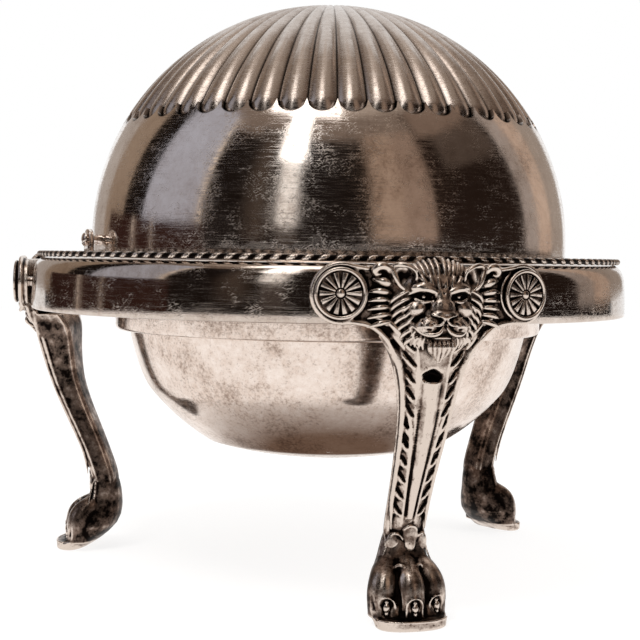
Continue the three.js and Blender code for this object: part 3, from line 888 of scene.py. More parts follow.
def makeArms(bm, s):
    edge = armOutline(s)
    top = [(s["rosetteX"], s["armTop"]), (-s["rosetteX"], s["armTop"])]
    corners = [(-x, z) for x, z in edge] + edge[::-1] + top
    verts = [bm.verts.new((x, -s["armInner"], z)) for x, z in corners]
    face = bmesh.ops.contextual_create(bm, geom=verts)["faces"]
    extruded(bm, face, (0, s["armInner"] - s["armOut"], 0))
    depth = s["discOut"] - s["armInner"]
    for side in (-1, 1):
        place = Matrix.Translation((side * s["rosetteX"], -s["armInner"] - depth / 2, s["rosetteZ"]))
        bmesh.ops.create_cone(bm, cap_ends=True, segments=48, radius1=s["rosetteRadius"],
                              radius2=s["rosetteRadius"], depth=depth,
                              matrix=place @ Matrix.Rotation(math.pi / 2, 4, "X"))


def barb(z):
    # path of one leaf barb, from its outer top to its inner foot
    half = row(z)[2]
    inside = max(ribHalf(z) + 1.35, 4.6 if z > 66 else 0)
    outside = max(half * 0.85, inside + 1.6)
    rise = 1.7 + 0.6 * (outside - inside)
    path = []
    for t in (0, 0.2, 0.45, 0.72, 1):
        x = outside + (inside - outside) * t
        height = z + rise * (0.5 - t) + 0.25 * math.sin(2 * math.pi * t)
        path.append((x, frontAt(x, height), height))
    return path


def barbHeights(s):
    count = round((s["bandTop"] - s["bandLow"]) / s["barbPitch"])
    return [s["bandTop"] - (i + 0.5) * s["barbPitch"] for i in range(count)]


def legStrokes(s):
    one = []
    # rolled edge of the arm, carried down the side of the shank
    sweep = [(x, s["armOut"] + 0.1, z, s["edgeRadius"]) for x, z in armOutline(s)]
    down = []
    for z in (76, 72, 67, 61, 54, 46, 38, 32):
        half = row(z)[2]
        down.append((half * 0.93, frontAt(half * 0.9, z) - 0.3, z, s["edgeRadius"] * 0.85))
    one.append(sweep + down + [(4.9, 80.4, 25.5, 0.2)])
    # crease along the side, and a filled corner under the arm
    crease = []
    for z in (72, 64, 56, 48, 40, 32, 26, 22):
        front, back, half = row(z)
        crease.append((half * 1.0, front - s["floor"] - 2.6, z, 0.42))
    one.append(crease)
    one.append([(14.0, 97.4, 81.2, 1.3), (12.5, 97.0, 78.6, 1.3), (11.0, 96.6, 75.8, 1.1),
                (9.4, 96.2, 72.6, 0.8)])
    # leaves on the arm, that carry the leaf band on up to the rosette
    one.append([(14.4, 98.8, 84.6, 0.3), (13.0, 99.2, 83.7, 0.9), (11.3, 99.6, 82.0, 1.0),
                (9.9, 99.7, 80.3, 0.8), (9.3, 99.5, 79.0, 0.2)])
    one.append([(12.6, 98.6, 81.3, 0.3), (11.3, 98.9, 80.2, 0.85), (10.0, 99.2, 78.8, 0.9),
                (9.0, 99.2, 77.3, 0.7), (8.6, 99.0, 76.3, 0.2)])
    one.append([(17.4, 98.8, 85.2, 0.3), (16.0, 99.1, 84.9, 0.8), (14.6, 99.3, 83.9, 0.75),
                (13.4, 99.3, 82.6, 0.2)])
    around = []
    for a in range(-96, 116, 15):
        x = s["rosetteX"] + 7.5 * math.cos(math.radians(a))
        z = s["rosetteZ"] + 7.6 * math.sin(math.radians(a))
        around.append((x, 98.9 + 0.5 * min(1, (a + 96) / 60), z, s["edgeRadius"]))
    around += [(20.4, 99.2, 97.6, 0.7), (18.2, 99, 97.2, 0.5)]
    one.append([(s["rosetteX"] - 3.5, 98.8, 83.5, s["edgeRadius"])] + around)
    # ridges on the inner sides of the leaf bands
    ridge = s["ridge"]
    one.append([(x, frontAt(x, z), z, r) for x, z, r in (
        (4.9, 77.4, ridge), (4.3, 73, ridge), (4.1, 69, ridge), (3.9, 64, ridge), (3.8, 60, 0.15))])
    one.append([(x, frontAt(x, z) + 0.1, z, r) for x, z, r in (
        (3.6, 59.6, 0.15), (3.35, 57, ridge * 0.8), (2.9, 53, 0.12))])
    one.append([(x, frontAt(x, z) + 0.05, z, r) for x, z, r in (
        (6.0, 61.5, 0.15), (5.2, 59, 0.55), (4.3, 56, 0.62), (3.6, 52, 0.55), (3.0, 46, 0.45),
        (2.5, 40, ridge), (2.1, 34, ridge), (1.9, 29.5, 0.25), (2.0, 26.5, 0.12))])
    for z in barbHeights(s):
        path = barb(z)
        sizes = (0.12, 0.75, 1, 0.8, 0.12)
        one.append([(x, out - 0.05, height, s["barbRadius"] * size)
                    for (x, out, height), size in zip(path, sizes)])
    strokes = mirrored(one)
    # middle rib, and the curl at its foot
    strokes.append([(0, row(z)[0] - ribHalf(z) + 0.1, z, ribHalf(z))
                    for z in (68.4, 62, 56, 48, 42, 36, 31, 28.4)])
    strokes.append([(-0.5, 81.7, 31.5, 0.2), (-1.25, 81.2, 29.8, 0.3), (-0.9, 80.9, 28.3, 0.3),
                    (0.3, 80.8, 27.7, 0.3), (1.2, 80.8, 28.4, 0.15)])
    # edges of the leaves over the ankle, and the fold down to the paw
    strokes.append([(-1.3, 80.4, 25.3, 0.25), (-0.6, 80.7, 26.3, 0.3), (0.9, 80.8, 26.7, 0.34),
                    (2.4, 80.6, 26.2, 0.3), (2.9, 80.2, 25.2, 0.25)])
    strokes.append([(-5.2, 78.9, 22.4, 0.2), (-4.8, 79.4, 24.0, 0.3), (-3.4, 79.9, 24.7, 0.34),
                    (-1.8, 80.2, 23.8, 0.3), (-1.4, 80.3, 22.4, 0.2)])
    strokes.append([(5.3, 78.7, 22.4, 0.2), (5.0, 79.3, 24.1, 0.3), (3.9, 79.9, 24.6, 0.32),
                    (3.1, 80.2, 23.4, 0.2)])
    strokes += mirrored([[(5.9, 77.6, 24.5, 0.25), (5.8, 78.5, 22.5, 0.32), (6.0, 79.0, 20, 0.36),
                          (6.8, 79.3, 17.6, 0.32), (8.1, 79.5, 15.2, 0.25)]])
    return strokes


def ankleLeaves(bm):
    # flat leaves that hang over the top of the paw
    lump(bm, (0.8, 79.9, 24.2), (2.3, 0.95, 2.9))
    lump(bm, (0.8, 80.1, 22.0), (1.7, 0.8, 2.8))
    lump(bm, (-3.4, 79.0, 22.0), (2.3, 0.95, 3.2))
    lump(bm, (4.2, 78.9, 22.0), (2.0, 0.95, 3.1))


def legCuts(s):
    front = row(s["ribTop"])[0]
    one = []
    for z in barbHeights(s):
        path = barb(z)
        # a deep groove over each barb, then two fine lines
        for rise, radius, depth in ((1.15, 0.55, 0.9), (2.1, 0.34, 0.2), (2.9, 0.34, 0.22)):
            sizes = (0.5, 0.9, 1, 0.9, 0.5)
            one.append([(x, frontAt(x, height + rise), height + rise, radius * size, depth * size)
                        for (x, _, height), size in zip(path, sizes)])
    for low, high in ((30, 45), (45, 60)):
        one.append([(ribHalf(z) + 0.25, frontAt(ribHalf(z), z) + 0.2, z, 0.5, 0.35)
                    for z in np.linspace(low, high, 5)])
    # floor of the plate inside the ears and between the locks
    one.append([(8.0, 98.7, 95.6, 1.7, 0.7), (9.4, 98.7, 95.4, 2.2, 0.9), (10.2, 98.7, 94.0, 1.7, 0.8)])
    cuts = mirrored(one)
    # hollow over the rib, then the gaps between the curl and the ankle's leaves
    cuts.append([(-1.9, front - 0.9, 69.2, 1.5, 1.1), (0, front - 0.5, 69.7, 1.9, 2.0),
                 (1.9, front - 0.9, 69.2, 1.5, 1.1)])
    cuts.append([(-0.8, 81.8, 27.9, 0.5, 0.6), (0.8, 82.1, 28.3, 0.55, 0.6), (2.4, 81.7, 27.8, 0.5, 0.5)])
    cuts.append([(-0.5, 81.8, 25.9, 0.4, 0.35), (0.8, 82.1, 26.4, 0.4, 0.35), (2.2, 81.8, 25.8, 0.4, 0.35)])
    cuts.append([(-3.6, 80.8, 26.3, 0.8, 0.9), (-3.3, 81, 25.9, 0.6, 0.6)])
    cuts.append([(-4.5, 80.9, 20.3, 0.6, 0.6), (-3.2, 81.2, 20.0, 0.7, 0.8), (-1.6, 81.2, 20.6, 0.7, 0.8),
                 (-0.8, 81.3, 22.4, 0.5, 0.6)])
    cuts.append([(3.6, 81.0, 20.4, 0.6, 0.6), (2.9, 81.0, 21.6, 0.6, 0.7), (2.7, 81.2, 23.4, 0.5, 0.6)])
    return cuts


# Paw rows: height, front, back, half width and place of the crease down its side
pawRows = [
    (0, 91.2, 82.4, 9.3, 86.6),
    (0.5, 91.9, 81.4, 10.0, 86.4),
    (2.2, 91.9, 78.8, 10.4, 85.8),
    (2.8, 91.2, 78.0, 10.3, 85.4),
    (3.2, 88.6, 77.4, 10.1, 85.0),
    (5, 87.9, 75.2, 10.7, 84.2),
    (8, 86.7, 72.4, 10.5, 82.6),
    (11, 84.8, 70.9, 9.3, 80.9),
    (14, 82.9, 70.3, 8.1, 79.2),
    (17, 81.3, 70.2, 7.0, 78.1),
    (20, 80.3, 70.4, 6.4, 77.5),
    (23, 79.8, 71.0, 5.9, 77.4),
    (26.5, 79.4, 72.6, 5.1, 77.4),
]
pawSettings = {
    "voxel": 0.25,
    "aside": -0.8,          # the paw stands a little to one side of the leg's middle,
    "asideTop": 24,         # from this height down
    "asideOver": 9,
    "toes": ((-7.4, 87.4, -20), (0, 89.9, 0), (7.4, 87.4, 20)),     # place across, front, turn
    "toeRadius": 4.0,
    "ringRadius": 2.3,      # the raised edge of the claw's sheath
    "ringThick": 0.3,
    "ringZ": 6.2,
    "around": 14,           # spots on half a ring of the paw
}


def pawLoft(bm, s):
    rings = []
    for z, front, back, half, crease in pawRows:
        points = []
        for i in range(2 * s["around"]):
            a = math.pi * i / s["around"]
            c, d = math.cos(a), math.sin(a)
            x = half * math.copysign(abs(d) ** 0.85, d)
            reach, bulge = (front - crease, 0.8) if c > 0 else (crease - back, 0.95)
            points.append((x, crease + reach * math.copysign(abs(c) ** bulge, c)))
        rings.append([(x, -out, z) for x, out in points])
    lofted(bm, rings)


def toeSpot(toe, across, back):
    # a spot on the front of a toe, measured across the toe and back from its front
    x, front, turn = toe
    a = math.radians(turn)
    return x + across * math.cos(a) + back * math.sin(-a), front - across * math.sin(a) - back * math.cos(a)


def makePaw(bm, s):
    pawLoft(bm, s)
    strokes = []
    for x, front, turn in s["toes"]:
        r = s["toeRadius"]
        strokes.append([
            (x * 0.45, 77.6, 17.6, r * 0.6),
            (x * 0.66, 78.4 + (front - 87) * 0.5, 15.4, r * 0.86),
            (x * 0.9, front - 5.0, 12.2, r * 1.0),
            (x * 0.98, front - r - 0.3, 8.6, r * 1.04),
            (x * 0.98, front - r - 0.3, 5.4, r * 0.98),
            (x * 0.98, front - r - 0.4, 2.5, r * 0.92),
        ])
    addStrokes(bm, strokes, 8)
    fine = []
    for toe in s["toes"]:
        arch = []
        for a in range(0, 181, 12):
            c, d = math.cos(math.radians(a)), math.sin(math.radians(a))
            x, out = toeSpot(toe, s["ringRadius"] * c, 0.15 + 0.75 * c * c)
            arch.append((x, out, s["ringZ"] + s["ringRadius"] * d, s["ringThick"]))
        ends = [(*toeSpot(toe, side * s["ringRadius"], 1.0), 4.1, s["ringThick"]) for side in (1, -1)]
        feet = [(*toeSpot(toe, side * s["ringRadius"], 0.8), 2.9, s["ringThick"]) for side in (1, -1)]
        fine.append([feet[0], ends[0]] + arch + [ends[1], feet[1]])
    # folds over the knuckles, and the crease that runs down to the front of the sole
    fine += mirrored([[(0.2, 85.9, 13.6, 0.3), (1.3, 84.9, 15.5, 0.5), (2.5, 83.9, 16.9, 0.55),
                       (4.2, 83.1, 15.8, 0.5), (6.0, 83.0, 13.8, 0.3)]])
    crease = [(half + 0.05, place, z, 0.42) for z, front, back, half, place in pawRows[:2:-1]]
    fine += mirrored([crease + [(9.6, 87.4, 2.7, 0.35), (8.6, 88.8, 2.6, 0.3)]])
    rim = []
    for x in np.linspace(-9.9, 9.9, 17):
        rim.append((x, 85.8 + 6.1 * math.sqrt(max(0, 1 - (x / 10.3) ** 2)) ** 0.8, 2.7, 0.34))
    fine.append(rim)
    addStrokes(bm, fine)


def pawCuts(s):
    cuts = []
    for toe in s["toes"]:
        for across, z, radius, depth in ((0, s["ringZ"] + 0.4, 2.1, 1.2), (0, s["ringZ"] - 1.6, 1.7, 0.7)):
            x, out = toeSpot(toe, across, -0.1)
            cuts.append([(x, out, z, radius, depth)])
    for side in (-1, 1):
        cuts.append([(side * 3.7, 88.0, 3.6, 0.6, 0.6), (side * 3.7, 87.8, 6, 0.6, 0.7),
                     (side * 3.65, 87.0, 9, 0.65, 0.7),
                     (side * 3.4, 85.8, 11.6, 0.75, 0.7), (side * 2.7, 84.6, 14.4, 1.1, 0.8)])
        cuts.append([(side * 8.9, 83.2, 13.4, 0.9, 0.5), (side * 10.2, 84.4, 9, 0.9, 0.6),
                     (side * 10.3, 85.4, 5.4, 0.8, 0.6)])
    under = []
    for x in np.linspace(-9.4, 9.4, 19):
        under.append((x, 85.4 + 4.9 * math.sqrt(max(0, 1 - (x / 10.2) ** 2)), 3.6, 0.7, 0.55))
    cuts.append(under)
    return cuts


def makeClaws(s):
    bm = bmesh.new()
    for toe in s["toes"]:
        for back, rise, radii in ((0.9, 1.1, (0.6, 0.7, 0.65)), (0.7, -0.5, (0.95, 0.95, 1.4)),
                                  (0.6, -1.9, (0.55, 0.7, 1.0))):
            x, out = toeSpot(toe, 0, back)
            lump(bm, (x, out, s["ringZ"] + rise), radii, 0, 3)
    return finishedMesh(bm, "claws")


# Lion mask: lumps for the bones of the face, strokes for hair and folds, cuts for eyes and mouth
maskSettings = {
    "voxel": 0.2,
    "hair": 0.72,           # radius of a lock
}


def maskLumps(bm):
    lump(bm, (0, 97.4, 88.2), (10.4, 4.4, 11.0))
    lump(bm, (0, 99.4, 93.6), (7.4, 3.8, 3.7))
    lump(bm, (0, 101.2, 84.6), (5.6, 3.5, 4.2))
    lump(bm, (0, 101.9, 89.6), (2.9, 2.6, 3.6))
    lump(bm, (0, 102.9, 87.4), (3.5, 2.6, 3.2))
    lump(bm, (0, 104.2, 86.0), (3.4, 1.8, 1.3))
    lump(bm, (0, 101.2, 79.6), (3.6, 1.7, 2.0))
    for side in (-1, 1):
        lump(bm, (side * 3.6, 102.6, 83.0), (3.7, 2.9, 2.6), side * 12)
        lump(bm, (side * 4.6, 101.5, 92.9), (3.8, 2.1, 1.5), side * 8)
        lump(bm, (side * 6.3, 101.0, 87.2), (2.9, 2.3, 2.4), side * 24)


def makeEyes():
    bm = bmesh.new()
    for side in (-1, 1):
        lump(bm, (side * 4.8, 101.75, 90.25), (0.6, 0.7, 0.58), 0, 3)
    return finishedMesh(bm, "eyes")


def maskStrokes(s):
    hair = s["hair"]
    one = []
    # brow ridge and the lid under the eye
    one.append([(1.1, 103.0, 90.9, 0.6), (2.6, 103.2, 91.9, 1.0), (4.8, 103.0, 92.5, 1.05),
                (7.0, 102.0, 92.2, 0.85), (8.6, 100.9, 90.8, 0.4)])
    one.append([(2.6, 103.0, 89.6, 0.35), (4.0, 103.1, 88.95, 0.45), (5.7, 102.8, 88.95, 0.45),
                (7.3, 101.8, 89.9, 0.35)])
    # forehead folds
    for x, low, high, r in ((1.0, 91.2, 95.2, 0.85), (2.9, 92.3, 95.6, 0.9), (4.8, 93.2, 95.4, 0.8)):
        one.append([(x * 0.8, 103.2 - x * 0.1, low, r * 0.5),
                    (x * 0.98, 103.4 - x * 0.14, low * 0.6 + high * 0.4, r),
                    (x * 1.15, 102.4 - x * 0.15, high, r * 0.75)])
    # crest: hair standing up round the forehead
    for i in range(6):
        t = (i + 0.5) / 6
        a = math.radians(2 + 62 * t)
        inner = (6.4 * math.sin(a), 102.3 - 1.0 * t, 95.9 - 2.0 * t ** 2)
        outer = (9.1 * math.sin(a), 98.9, 100.1 - 2.6 * t ** 1.7)
        mid = tuple((p + q) / 2 for p, q in zip(inner, outer))
        one.append([(*inner, hair * 0.5), (mid[0] - 0.1, mid[1] + 1.3, mid[2], hair * 1.0),
                    (*outer, hair * 0.75)])
    # ears
    one.append([(6.4, 101.3, 94.2, 0.5), (7.0, 101.9, 96.4, 0.75), (8.8, 102.0, 98.0, 0.85),
                (11.0, 101.4, 98.6, 0.8), (12.9, 100.4, 98.0, 0.7),
                (12.5, 100.9, 96.2, 0.8), (11.5, 101.4, 94.2, 0.8),
                (10.5, 101.5, 92.6, 0.7), (9.3, 101.3, 91.8, 0.4)])
    # side mane, in two layers that sweep out and down
    for i in range(7):
        t = i / 6
        root = (8.7 - 2.4 * t ** 1.6, 101.6, 91.8 - 11.6 * t)
        tip = (13.2 - 4.2 * t ** 1.7, 98.9, 87.8 - 10.6 * t)
        mid = ((root[0] + tip[0]) / 2 + 1.3, 101.8, (root[2] + tip[2]) / 2 + 0.9)
        one.append([(*root, hair * 0.5), (*mid, hair * 1.2), (*tip, hair * 0.4)])
    for i in range(6):
        t = (i + 0.5) / 6
        root = (7.5 - 2.2 * t ** 1.4, 101.9, 89.8 - 10.2 * t)
        tip = (10.3 - 3.6 * t ** 1.5, 100.8, 86.6 - 9.4 * t)
        mid = ((root[0] + tip[0]) / 2 + 0.6, 102.5, (root[2] + tip[2]) / 2 + 0.5)
        one.append([(*root, hair * 0.35), (*mid, hair * 0.95), (*tip, hair * 0.35)])
    # leaves and locks between mane and rosette
    one.append([(12.2, 99.0, 92.8, 0.4), (13.6, 100.4, 93.5, 1.15), (15.6, 100.5, 94.4, 1.2),
                (17.6, 99.4, 94.6, 0.35)])
    one.append([(12.4, 99.0, 91.0, 0.4), (14.4, 100.4, 91.5, 1.05), (17.0, 99.9, 91.8, 0.8),
                (18.7, 98.9, 91.2, 0.2)])
    for i in range(4):
        z = 89.2 - 1.75 * i
        one.append([(12.8 - 0.3 * i, 99.0, z, 0.4),
                    (14.8 - 0.1 * i, 100.3, z + 0.35 - 0.2 * i, hair * 1.2),
                    (17.0, 99.8, z + 0.2 - 0.42 * i, hair * 0.95), (18.7, 98.9, z - 0.5 * i - 0.3, 0.2)])
    # scroll
    one.append([(13.0, 99.2, 95.2, 0.3), (13.4, 100.4, 96.8, 0.9), (14.5, 100.8, 98.0, 1.15),
                (16.4, 100.8, 98.1, 1.25), (17.5, 100.4, 96.8, 1.0), (16.6, 100.2, 95.7, 0.75),
                (15.6, 100.1, 96.2, 0.5)])
    # whisker pads: a rolled lower edge and a wing beside the nostril
    one.append([(0.25, 104.9, 83.6, 0.35), (0.8, 105.2, 81.9, 0.5), (2.4, 105.4, 80.7, 0.62),
                (4.7, 104.7, 80.6, 0.62), (6.8, 103.1, 81.7, 0.5), (7.8, 101.8, 83.4, 0.3)])
    one.append([(0.35, 105.6, 84.5, 0.35), (0.95, 105.7, 83.4, 0.4), (2.5, 105.5, 82.9, 0.4),
                (4.4, 104.8, 83.9, 0.35), (5.0, 104.0, 85.2, 0.3)])
    # lower edge of the nose
    one.append([(0, 105.7, 84.9, 0.4), (1.3, 105.8, 85.2, 0.4), (2.8, 105.2, 85.5, 0.4),
                (3.6, 104.3, 86.2, 0.35)])
    # locks beside the chin
    for i in range(4):
        t = i / 3
        one.append([(4.4 + 2.6 * t, 102.1 - 0.3 * t, 80.0 + 0.5 * t, 0.4),
                    (5.2 + 2.9 * t, 102.1 - 0.7 * t, 78.8 + 0.4 * t, hair * 0.85),
                    (4.4 + 3.0 * t, 101.0 - 0.8 * t, 76.6 + 1.0 * t, 0.25)])
    strokes = mirrored(one)
    strokes.append([(-2.2, 103.4, 79.7, 0.25), (0, 103.9, 79.95, 0.42), (2.2, 103.4, 79.7, 0.25)])
    # beard
    for i in range(6):
        x = (i - 2.5) * 1.32
        length = 6.4 - 0.42 * abs(i - 2.5) ** 1.7
        strokes.append([(x * 0.8, 101.6, 80.0, hair * 0.5), (x * 1.0, 103.1, 78.3, hair * 0.8),
                        (x * 1.0, 102.8, 76.2, hair * 0.95),
                        (x * 0.4, 100.6, 79.3 - length, 0.22)])
    return strokes


def maskCuts():
    one = [
        # eye sockets and corners
        [(2.7, 103.0, 90.1, 0.7, 0.9), (3.8, 103.0, 90.25, 0.95, 1.5), (5.0, 102.8, 90.35, 0.95, 1.5),
         (6.4, 102.1, 90.5, 0.7, 0.9)],
        [(2.0, 103.5, 90.0, 0.5, 0.4), (2.6, 103.5, 88.7, 0.5, 0.4)],
        # ears
        [(8.1, 101.9, 95.9, 1.5, 1.9), (9.4, 101.7, 96.0, 2.1, 2.9), (9.8, 101.4, 94.4, 1.7, 2.4)],
        # nostrils
        [(1.3, 106.1, 84.55, 0.6, 0.6), (2.5, 105.6, 84.75, 0.75, 0.9), (3.5, 105.0, 84.9, 0.6, 0.5)],
        # folds of the whisker pads
        [(1.9, 105.8, 82.0, 0.45, 0.5), (3.6, 105.6, 81.75, 0.5, 0.65), (5.4, 104.6, 82.3, 0.5, 0.6),
         (6.6, 103.4, 83.3, 0.4, 0.4)],
        [(2.4, 105.8, 84.0, 0.45, 0.35), (4.2, 105.0, 83.1, 0.5, 0.55), (5.6, 104.3, 83.8, 0.5, 0.6),
         (6.2, 103.4, 85.0, 0.4, 0.4)],
        [(4.2, 104.2, 86.2, 0.8, 0.8), (3.8, 103.6, 88.0, 0.6, 0.5)],
        # mouth
        [(2.2, 104.6, 79.9, 0.6, 0.7), (4.2, 103.8, 79.7, 0.7, 0.8), (6.0, 102.6, 80.3, 0.6, 0.6)],
        # pores of the nose
        [(0.5, 105.2, 89.2, 0.36, 0.25)], [(1.5, 105.1, 88.6, 0.36, 0.25)], [(0.3, 105.6, 88.1, 0.36, 0.25)],
        [(1.1, 105.7, 87.5, 0.34, 0.22)], [(2.2, 105.3, 87.5, 0.34, 0.22)],
        [(0, 103.9, 96.0, 0.7, 0.7), (2.4, 103.6, 96.1, 0.7, 0.7), (4.6, 102.8, 95.8, 0.6, 0.5)],
    ]
    both = mirrored(one)
    both.append([(0, 106.2, 84.4, 0.4, 0.35), (0, 105.2, 82.9, 0.45, 0.6)])
    both.append([(-1.9, 104.4, 80.6, 0.5, 0.7), (0, 104.6, 81.2, 0.75, 1.3), (1.9, 104.4, 80.6, 0.5, 0.7)])
    both.append([(0, 104.3, 91.4, 0.5, 0.7), (0, 103.9, 94.6, 0.5, 0.7)])
    return both


def lionMask():
    bm = bmesh.new()
    maskLumps(bm)
    addStrokes(bm, maskStrokes(maskSettings), 2)
    mesh = fused(bm, maskSettings["voxel"])
    carve(mesh, maskCuts())
    return mesh


# Rosette: a wheel of petals in a rolled ring, with a hub
rosetteSettings = {
    "radius": 6.3,
    "ringThick": 0.5,
    "petals": 14,
    "petalFrom": 1.45,
    "petalTo": 5.4,
    "hub": 1.15,
    "floorOut": 100,
}


def makeRosette(s):
    bm = bmesh.new()
    out = s["floorOut"]
    disc = [(0, 0), (s["radius"], 0), (s["radius"], 0.5), (0, 0.5)]
    ring = arc((s["radius"], 0.95), s["ringThick"], 0, 345, 14)
    for outline in (disc, ring):
        turned(bm, outline, 72)
    bmesh.ops.create_uvsphere(bm, u_segments=32, v_segments=16, radius=1,
                              matrix=Matrix.Translation((0, 0, 0.75))
                              @ Matrix.Diagonal((s["hub"], s["hub"], 0.55, 1)))
    for i in range(s["petals"]):
        made = bmesh.ops.create_cube(bm, size=1)["verts"]
        for v in made:
            far = v.co.x > 0
            wide = (1.02 if far else 0.3) * (0.62 if v.co.z > 0 else 1)
            v.co = Vector((s["petalTo"] if far else s["petalFrom"], v.co.y * 2 * wide,
                           1.15 if v.co.z > 0 else 0.3))
        edges = {e for v in made for e in v.link_edges if v.co.z > 1}
        top = [e for e in edges if all(v.co.z > 1 for v in e.verts)]
        bmesh.ops.rotate(bm, verts=made, cent=(0, 0, 0),
                         matrix=Matrix.Rotation(2 * math.pi * i / s["petals"], 3, "Z"))
        bmesh.ops.bevel(bm, geom=top, offset=0.16, segments=2, profile=0.5, affect="EDGES", material=-1)
    bmesh.ops.remove_doubles(bm, verts=bm.verts, dist=1e-5)
    bmesh.ops.recalc_face_normals(bm, faces=bm.faces)
    place = Matrix.Translation((0, -out, legSettings["rosetteZ"])) @ Matrix.Rotation(math.pi / 2, 4, "X")
    bmesh.ops.transform(bm, matrix=place, verts=bm.verts)
    mesh = finishedMesh(bm, "rosette")
    note = mesh.attributes.new("recess", "FLOAT", "POINT")
    depth = (out + 1.05 + readSkin(mesh)[0][:, 1]) / 0.6
    note.data.foreach_set("value", np.clip(0.3 + 0.45 * depth, 0, 1).astype(np.float32))
    mesh.set_sharp_from_angle(angle=math.radians(40))
    return mesh


def makeLegs():
    bm = bmesh.new()
    makeShank(bm, legSettings)
    makeArms(bm, legSettings)
    ankleLeaves(bm)
    addStrokes(bm, legStrokes(legSettings))
    shank = fused(bm, legSettings["voxel"])
    carve(shank, legCuts(legSettings))
    smoothCasting(shank, castSettings, 2)
    bm = bmesh.new()
    makePaw(bm, pawSettings)
    paw = fused(bm, pawSettings["voxel"])
    carve(paw, pawCuts(pawSettings))
    smoothCasting(paw, castSettings, 3)
    claws = makeClaws(pawSettings)
    for mesh in (paw, claws):
        spots = readSkin(mesh)[0]
        share = np.clip((pawSettings["asideTop"] - spots[:, 2]) / pawSettings["asideOver"], 0, 1)
        spots[:, 0] += pawSettings["aside"] * share
        writeSkin(mesh, spots)
    eyes = makeEyes()
    mask = lionMask()
    smoothCasting(mask, castSettings, 1, 0.4)
    wheel = makeRosette(rosetteSettings)
    aside = legSettings["rosetteX"]
    tree = joinedTree([(shank, 0), (paw, 0), (claws, 0), (mask, 0), (eyes, 0), (wheel, aside),
                       (wheel, -aside)])
    for mesh in (shank, paw, claws, mask, eyes):
        noteRecess(mesh, castSettings, tree)
        bendCasting(mesh)
    print("shank", len(shank.vertices), "paw", len(paw.vertices), "mask", len(mask.vertices))
    rosetteTurn = math.degrees(legSettings["rosetteX"] / castSettings["bendRadius"])
    for place, turn in (("front", 0), ("left", -115), ("right", 115)):
        addCasting("shank_" + place, shank, turn, ["leg_" + place], castMetal)
        addCasting("paw_" + place, paw, turn, [], castMetal)
        addCasting("claws_" + place, claws, turn, [], castMetal)
        addCasting("mask_" + place, mask, turn, [], castMetal)
        addCasting("eyes_" + place, eyes, turn, [], castMetal)
        for side, step in (("1", -rosetteTurn), ("2", rosetteTurn)):
            addCasting("rosette_%s_%s" % (place, side), wheel, turn + step, [], castMetal)


makeLegs()
print("legs made")


# Rope border: one tube with twisted strands, mirrored where it meets the front mask. Broad hollow
# strands stay dark, and the rims between them are rubbed bright.
ropeSettings = {
    "reach": 93.2,
    "raised": 0.15,         # it lies on the raised border of the ring
    "repeats": 140,
    "perRepeat": 20,
    "around": 14,
    "twist": 1.05,
    "strands": ((0, 0.58), (0.58, 0.79), (0.79, 1)),    # shares of a repeat, the broad one first
    "groove": 0.42,         # share of the tube's radius that is lost between strands
    "hollow": 0.45,         # the broad strand is hollow along its middle
}


def makeRope(s):
    low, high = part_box("rope_border")
    radius = (high.z - low.z) / 2 / mm
    middle = (high.z + low.z) / 2 / mm + s["raised"]
    bm = spunMesh(arc((s["reach"], middle), radius, 0, 360 - 360 / s["around"], s["around"] - 1),
                  s["repeats"] * s["perRepeat"])
    recess = bm.verts.layers.float.new("recess")
    for v in bm.verts:
        reach = math.hypot(v.co.x, v.co.y)
        side = math.atan2(v.co.z - middle, reach - s["reach"])
        turn = abs(math.atan2(v.co.x, -v.co.y))
        place = ((turn * s["repeats"] + side * s["twist"]) / (2 * math.pi)) % 1
        start, end = next(pair for pair in s["strands"] if place <= pair[1])
        across = abs((place - start) / (end - start) - 0.5) * 2
        depth = (1 - math.sqrt(max(0, 1 - across ** 2.2))) * min(1, (end - start) * 2.6)
        hollow = max(0, 1 - (across / 0.85) ** 2) if start == 0 else 0
        depth += s["hollow"] * hollow
        level = radius * (1 - s["groove"] * depth)
        out = Vector((v.co.x, v.co.y, 0)).normalized()
        v.co = out * (s["reach"] + level * math.cos(side)) + Vector((0, 0, middle + level * math.sin(side)))
        v[recess] = min(1, 0.05 + max(0.95 * min(1, hollow * 2), across ** 6))
    addPiece("rope", bm, "stand", ["rope_border"], castMetal, sharp=60)


makeRope(ropeSettings)
print("rope made")


# Bridge plate between ring and bowl, and the glass liner
linerSettings = {
    "foot": 26,
    "wall": 2.4,
    "overhang": 3.1,        # of the rim past the side
    "seatDrop": 2.2,        # thickness of the rim
    "round": 0.7,
    "footRing": 0.8,
    "bridgeHalf": 54,       # degrees to each side that the bridge plate covers
    "steps": 160,
}


def makeBridge(s):
    low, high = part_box("bridge_plate")
    inner = bowlSettings["collarOuter"] + 0.3
    outer = ringSettings["inner"] - 0.3
    bm = bmesh.new()
    top, bottom = high.z / mm, low.z / mm
    points, edges = closedLine(bm, [
        (inner, 0, bottom), (outer, 0, bottom), (outer, 0, top), (inner, 0, top)])
    face = bmesh.ops.contextual_create(bm, geom=edges)["faces"]
    bmesh.ops.rotate(bm, verts=points, cent=(0, 0, 0),
                     matrix=Matrix.Rotation(math.radians(-90 - s["bridgeHalf"]), 3, "Z"))
    bmesh.ops.spin(bm, geom=points + edges + face, cent=(0, 0, 0), axis=(0, 0, 1),
                   angle=math.radians(2 * s["bridgeHalf"]), steps=72)
    bmesh.ops.recalc_face_normals(bm, faces=bm.faces)
    addPiece("bridge", bm, "stand", ["bridge_plate"], plate, turn=lidTurn)


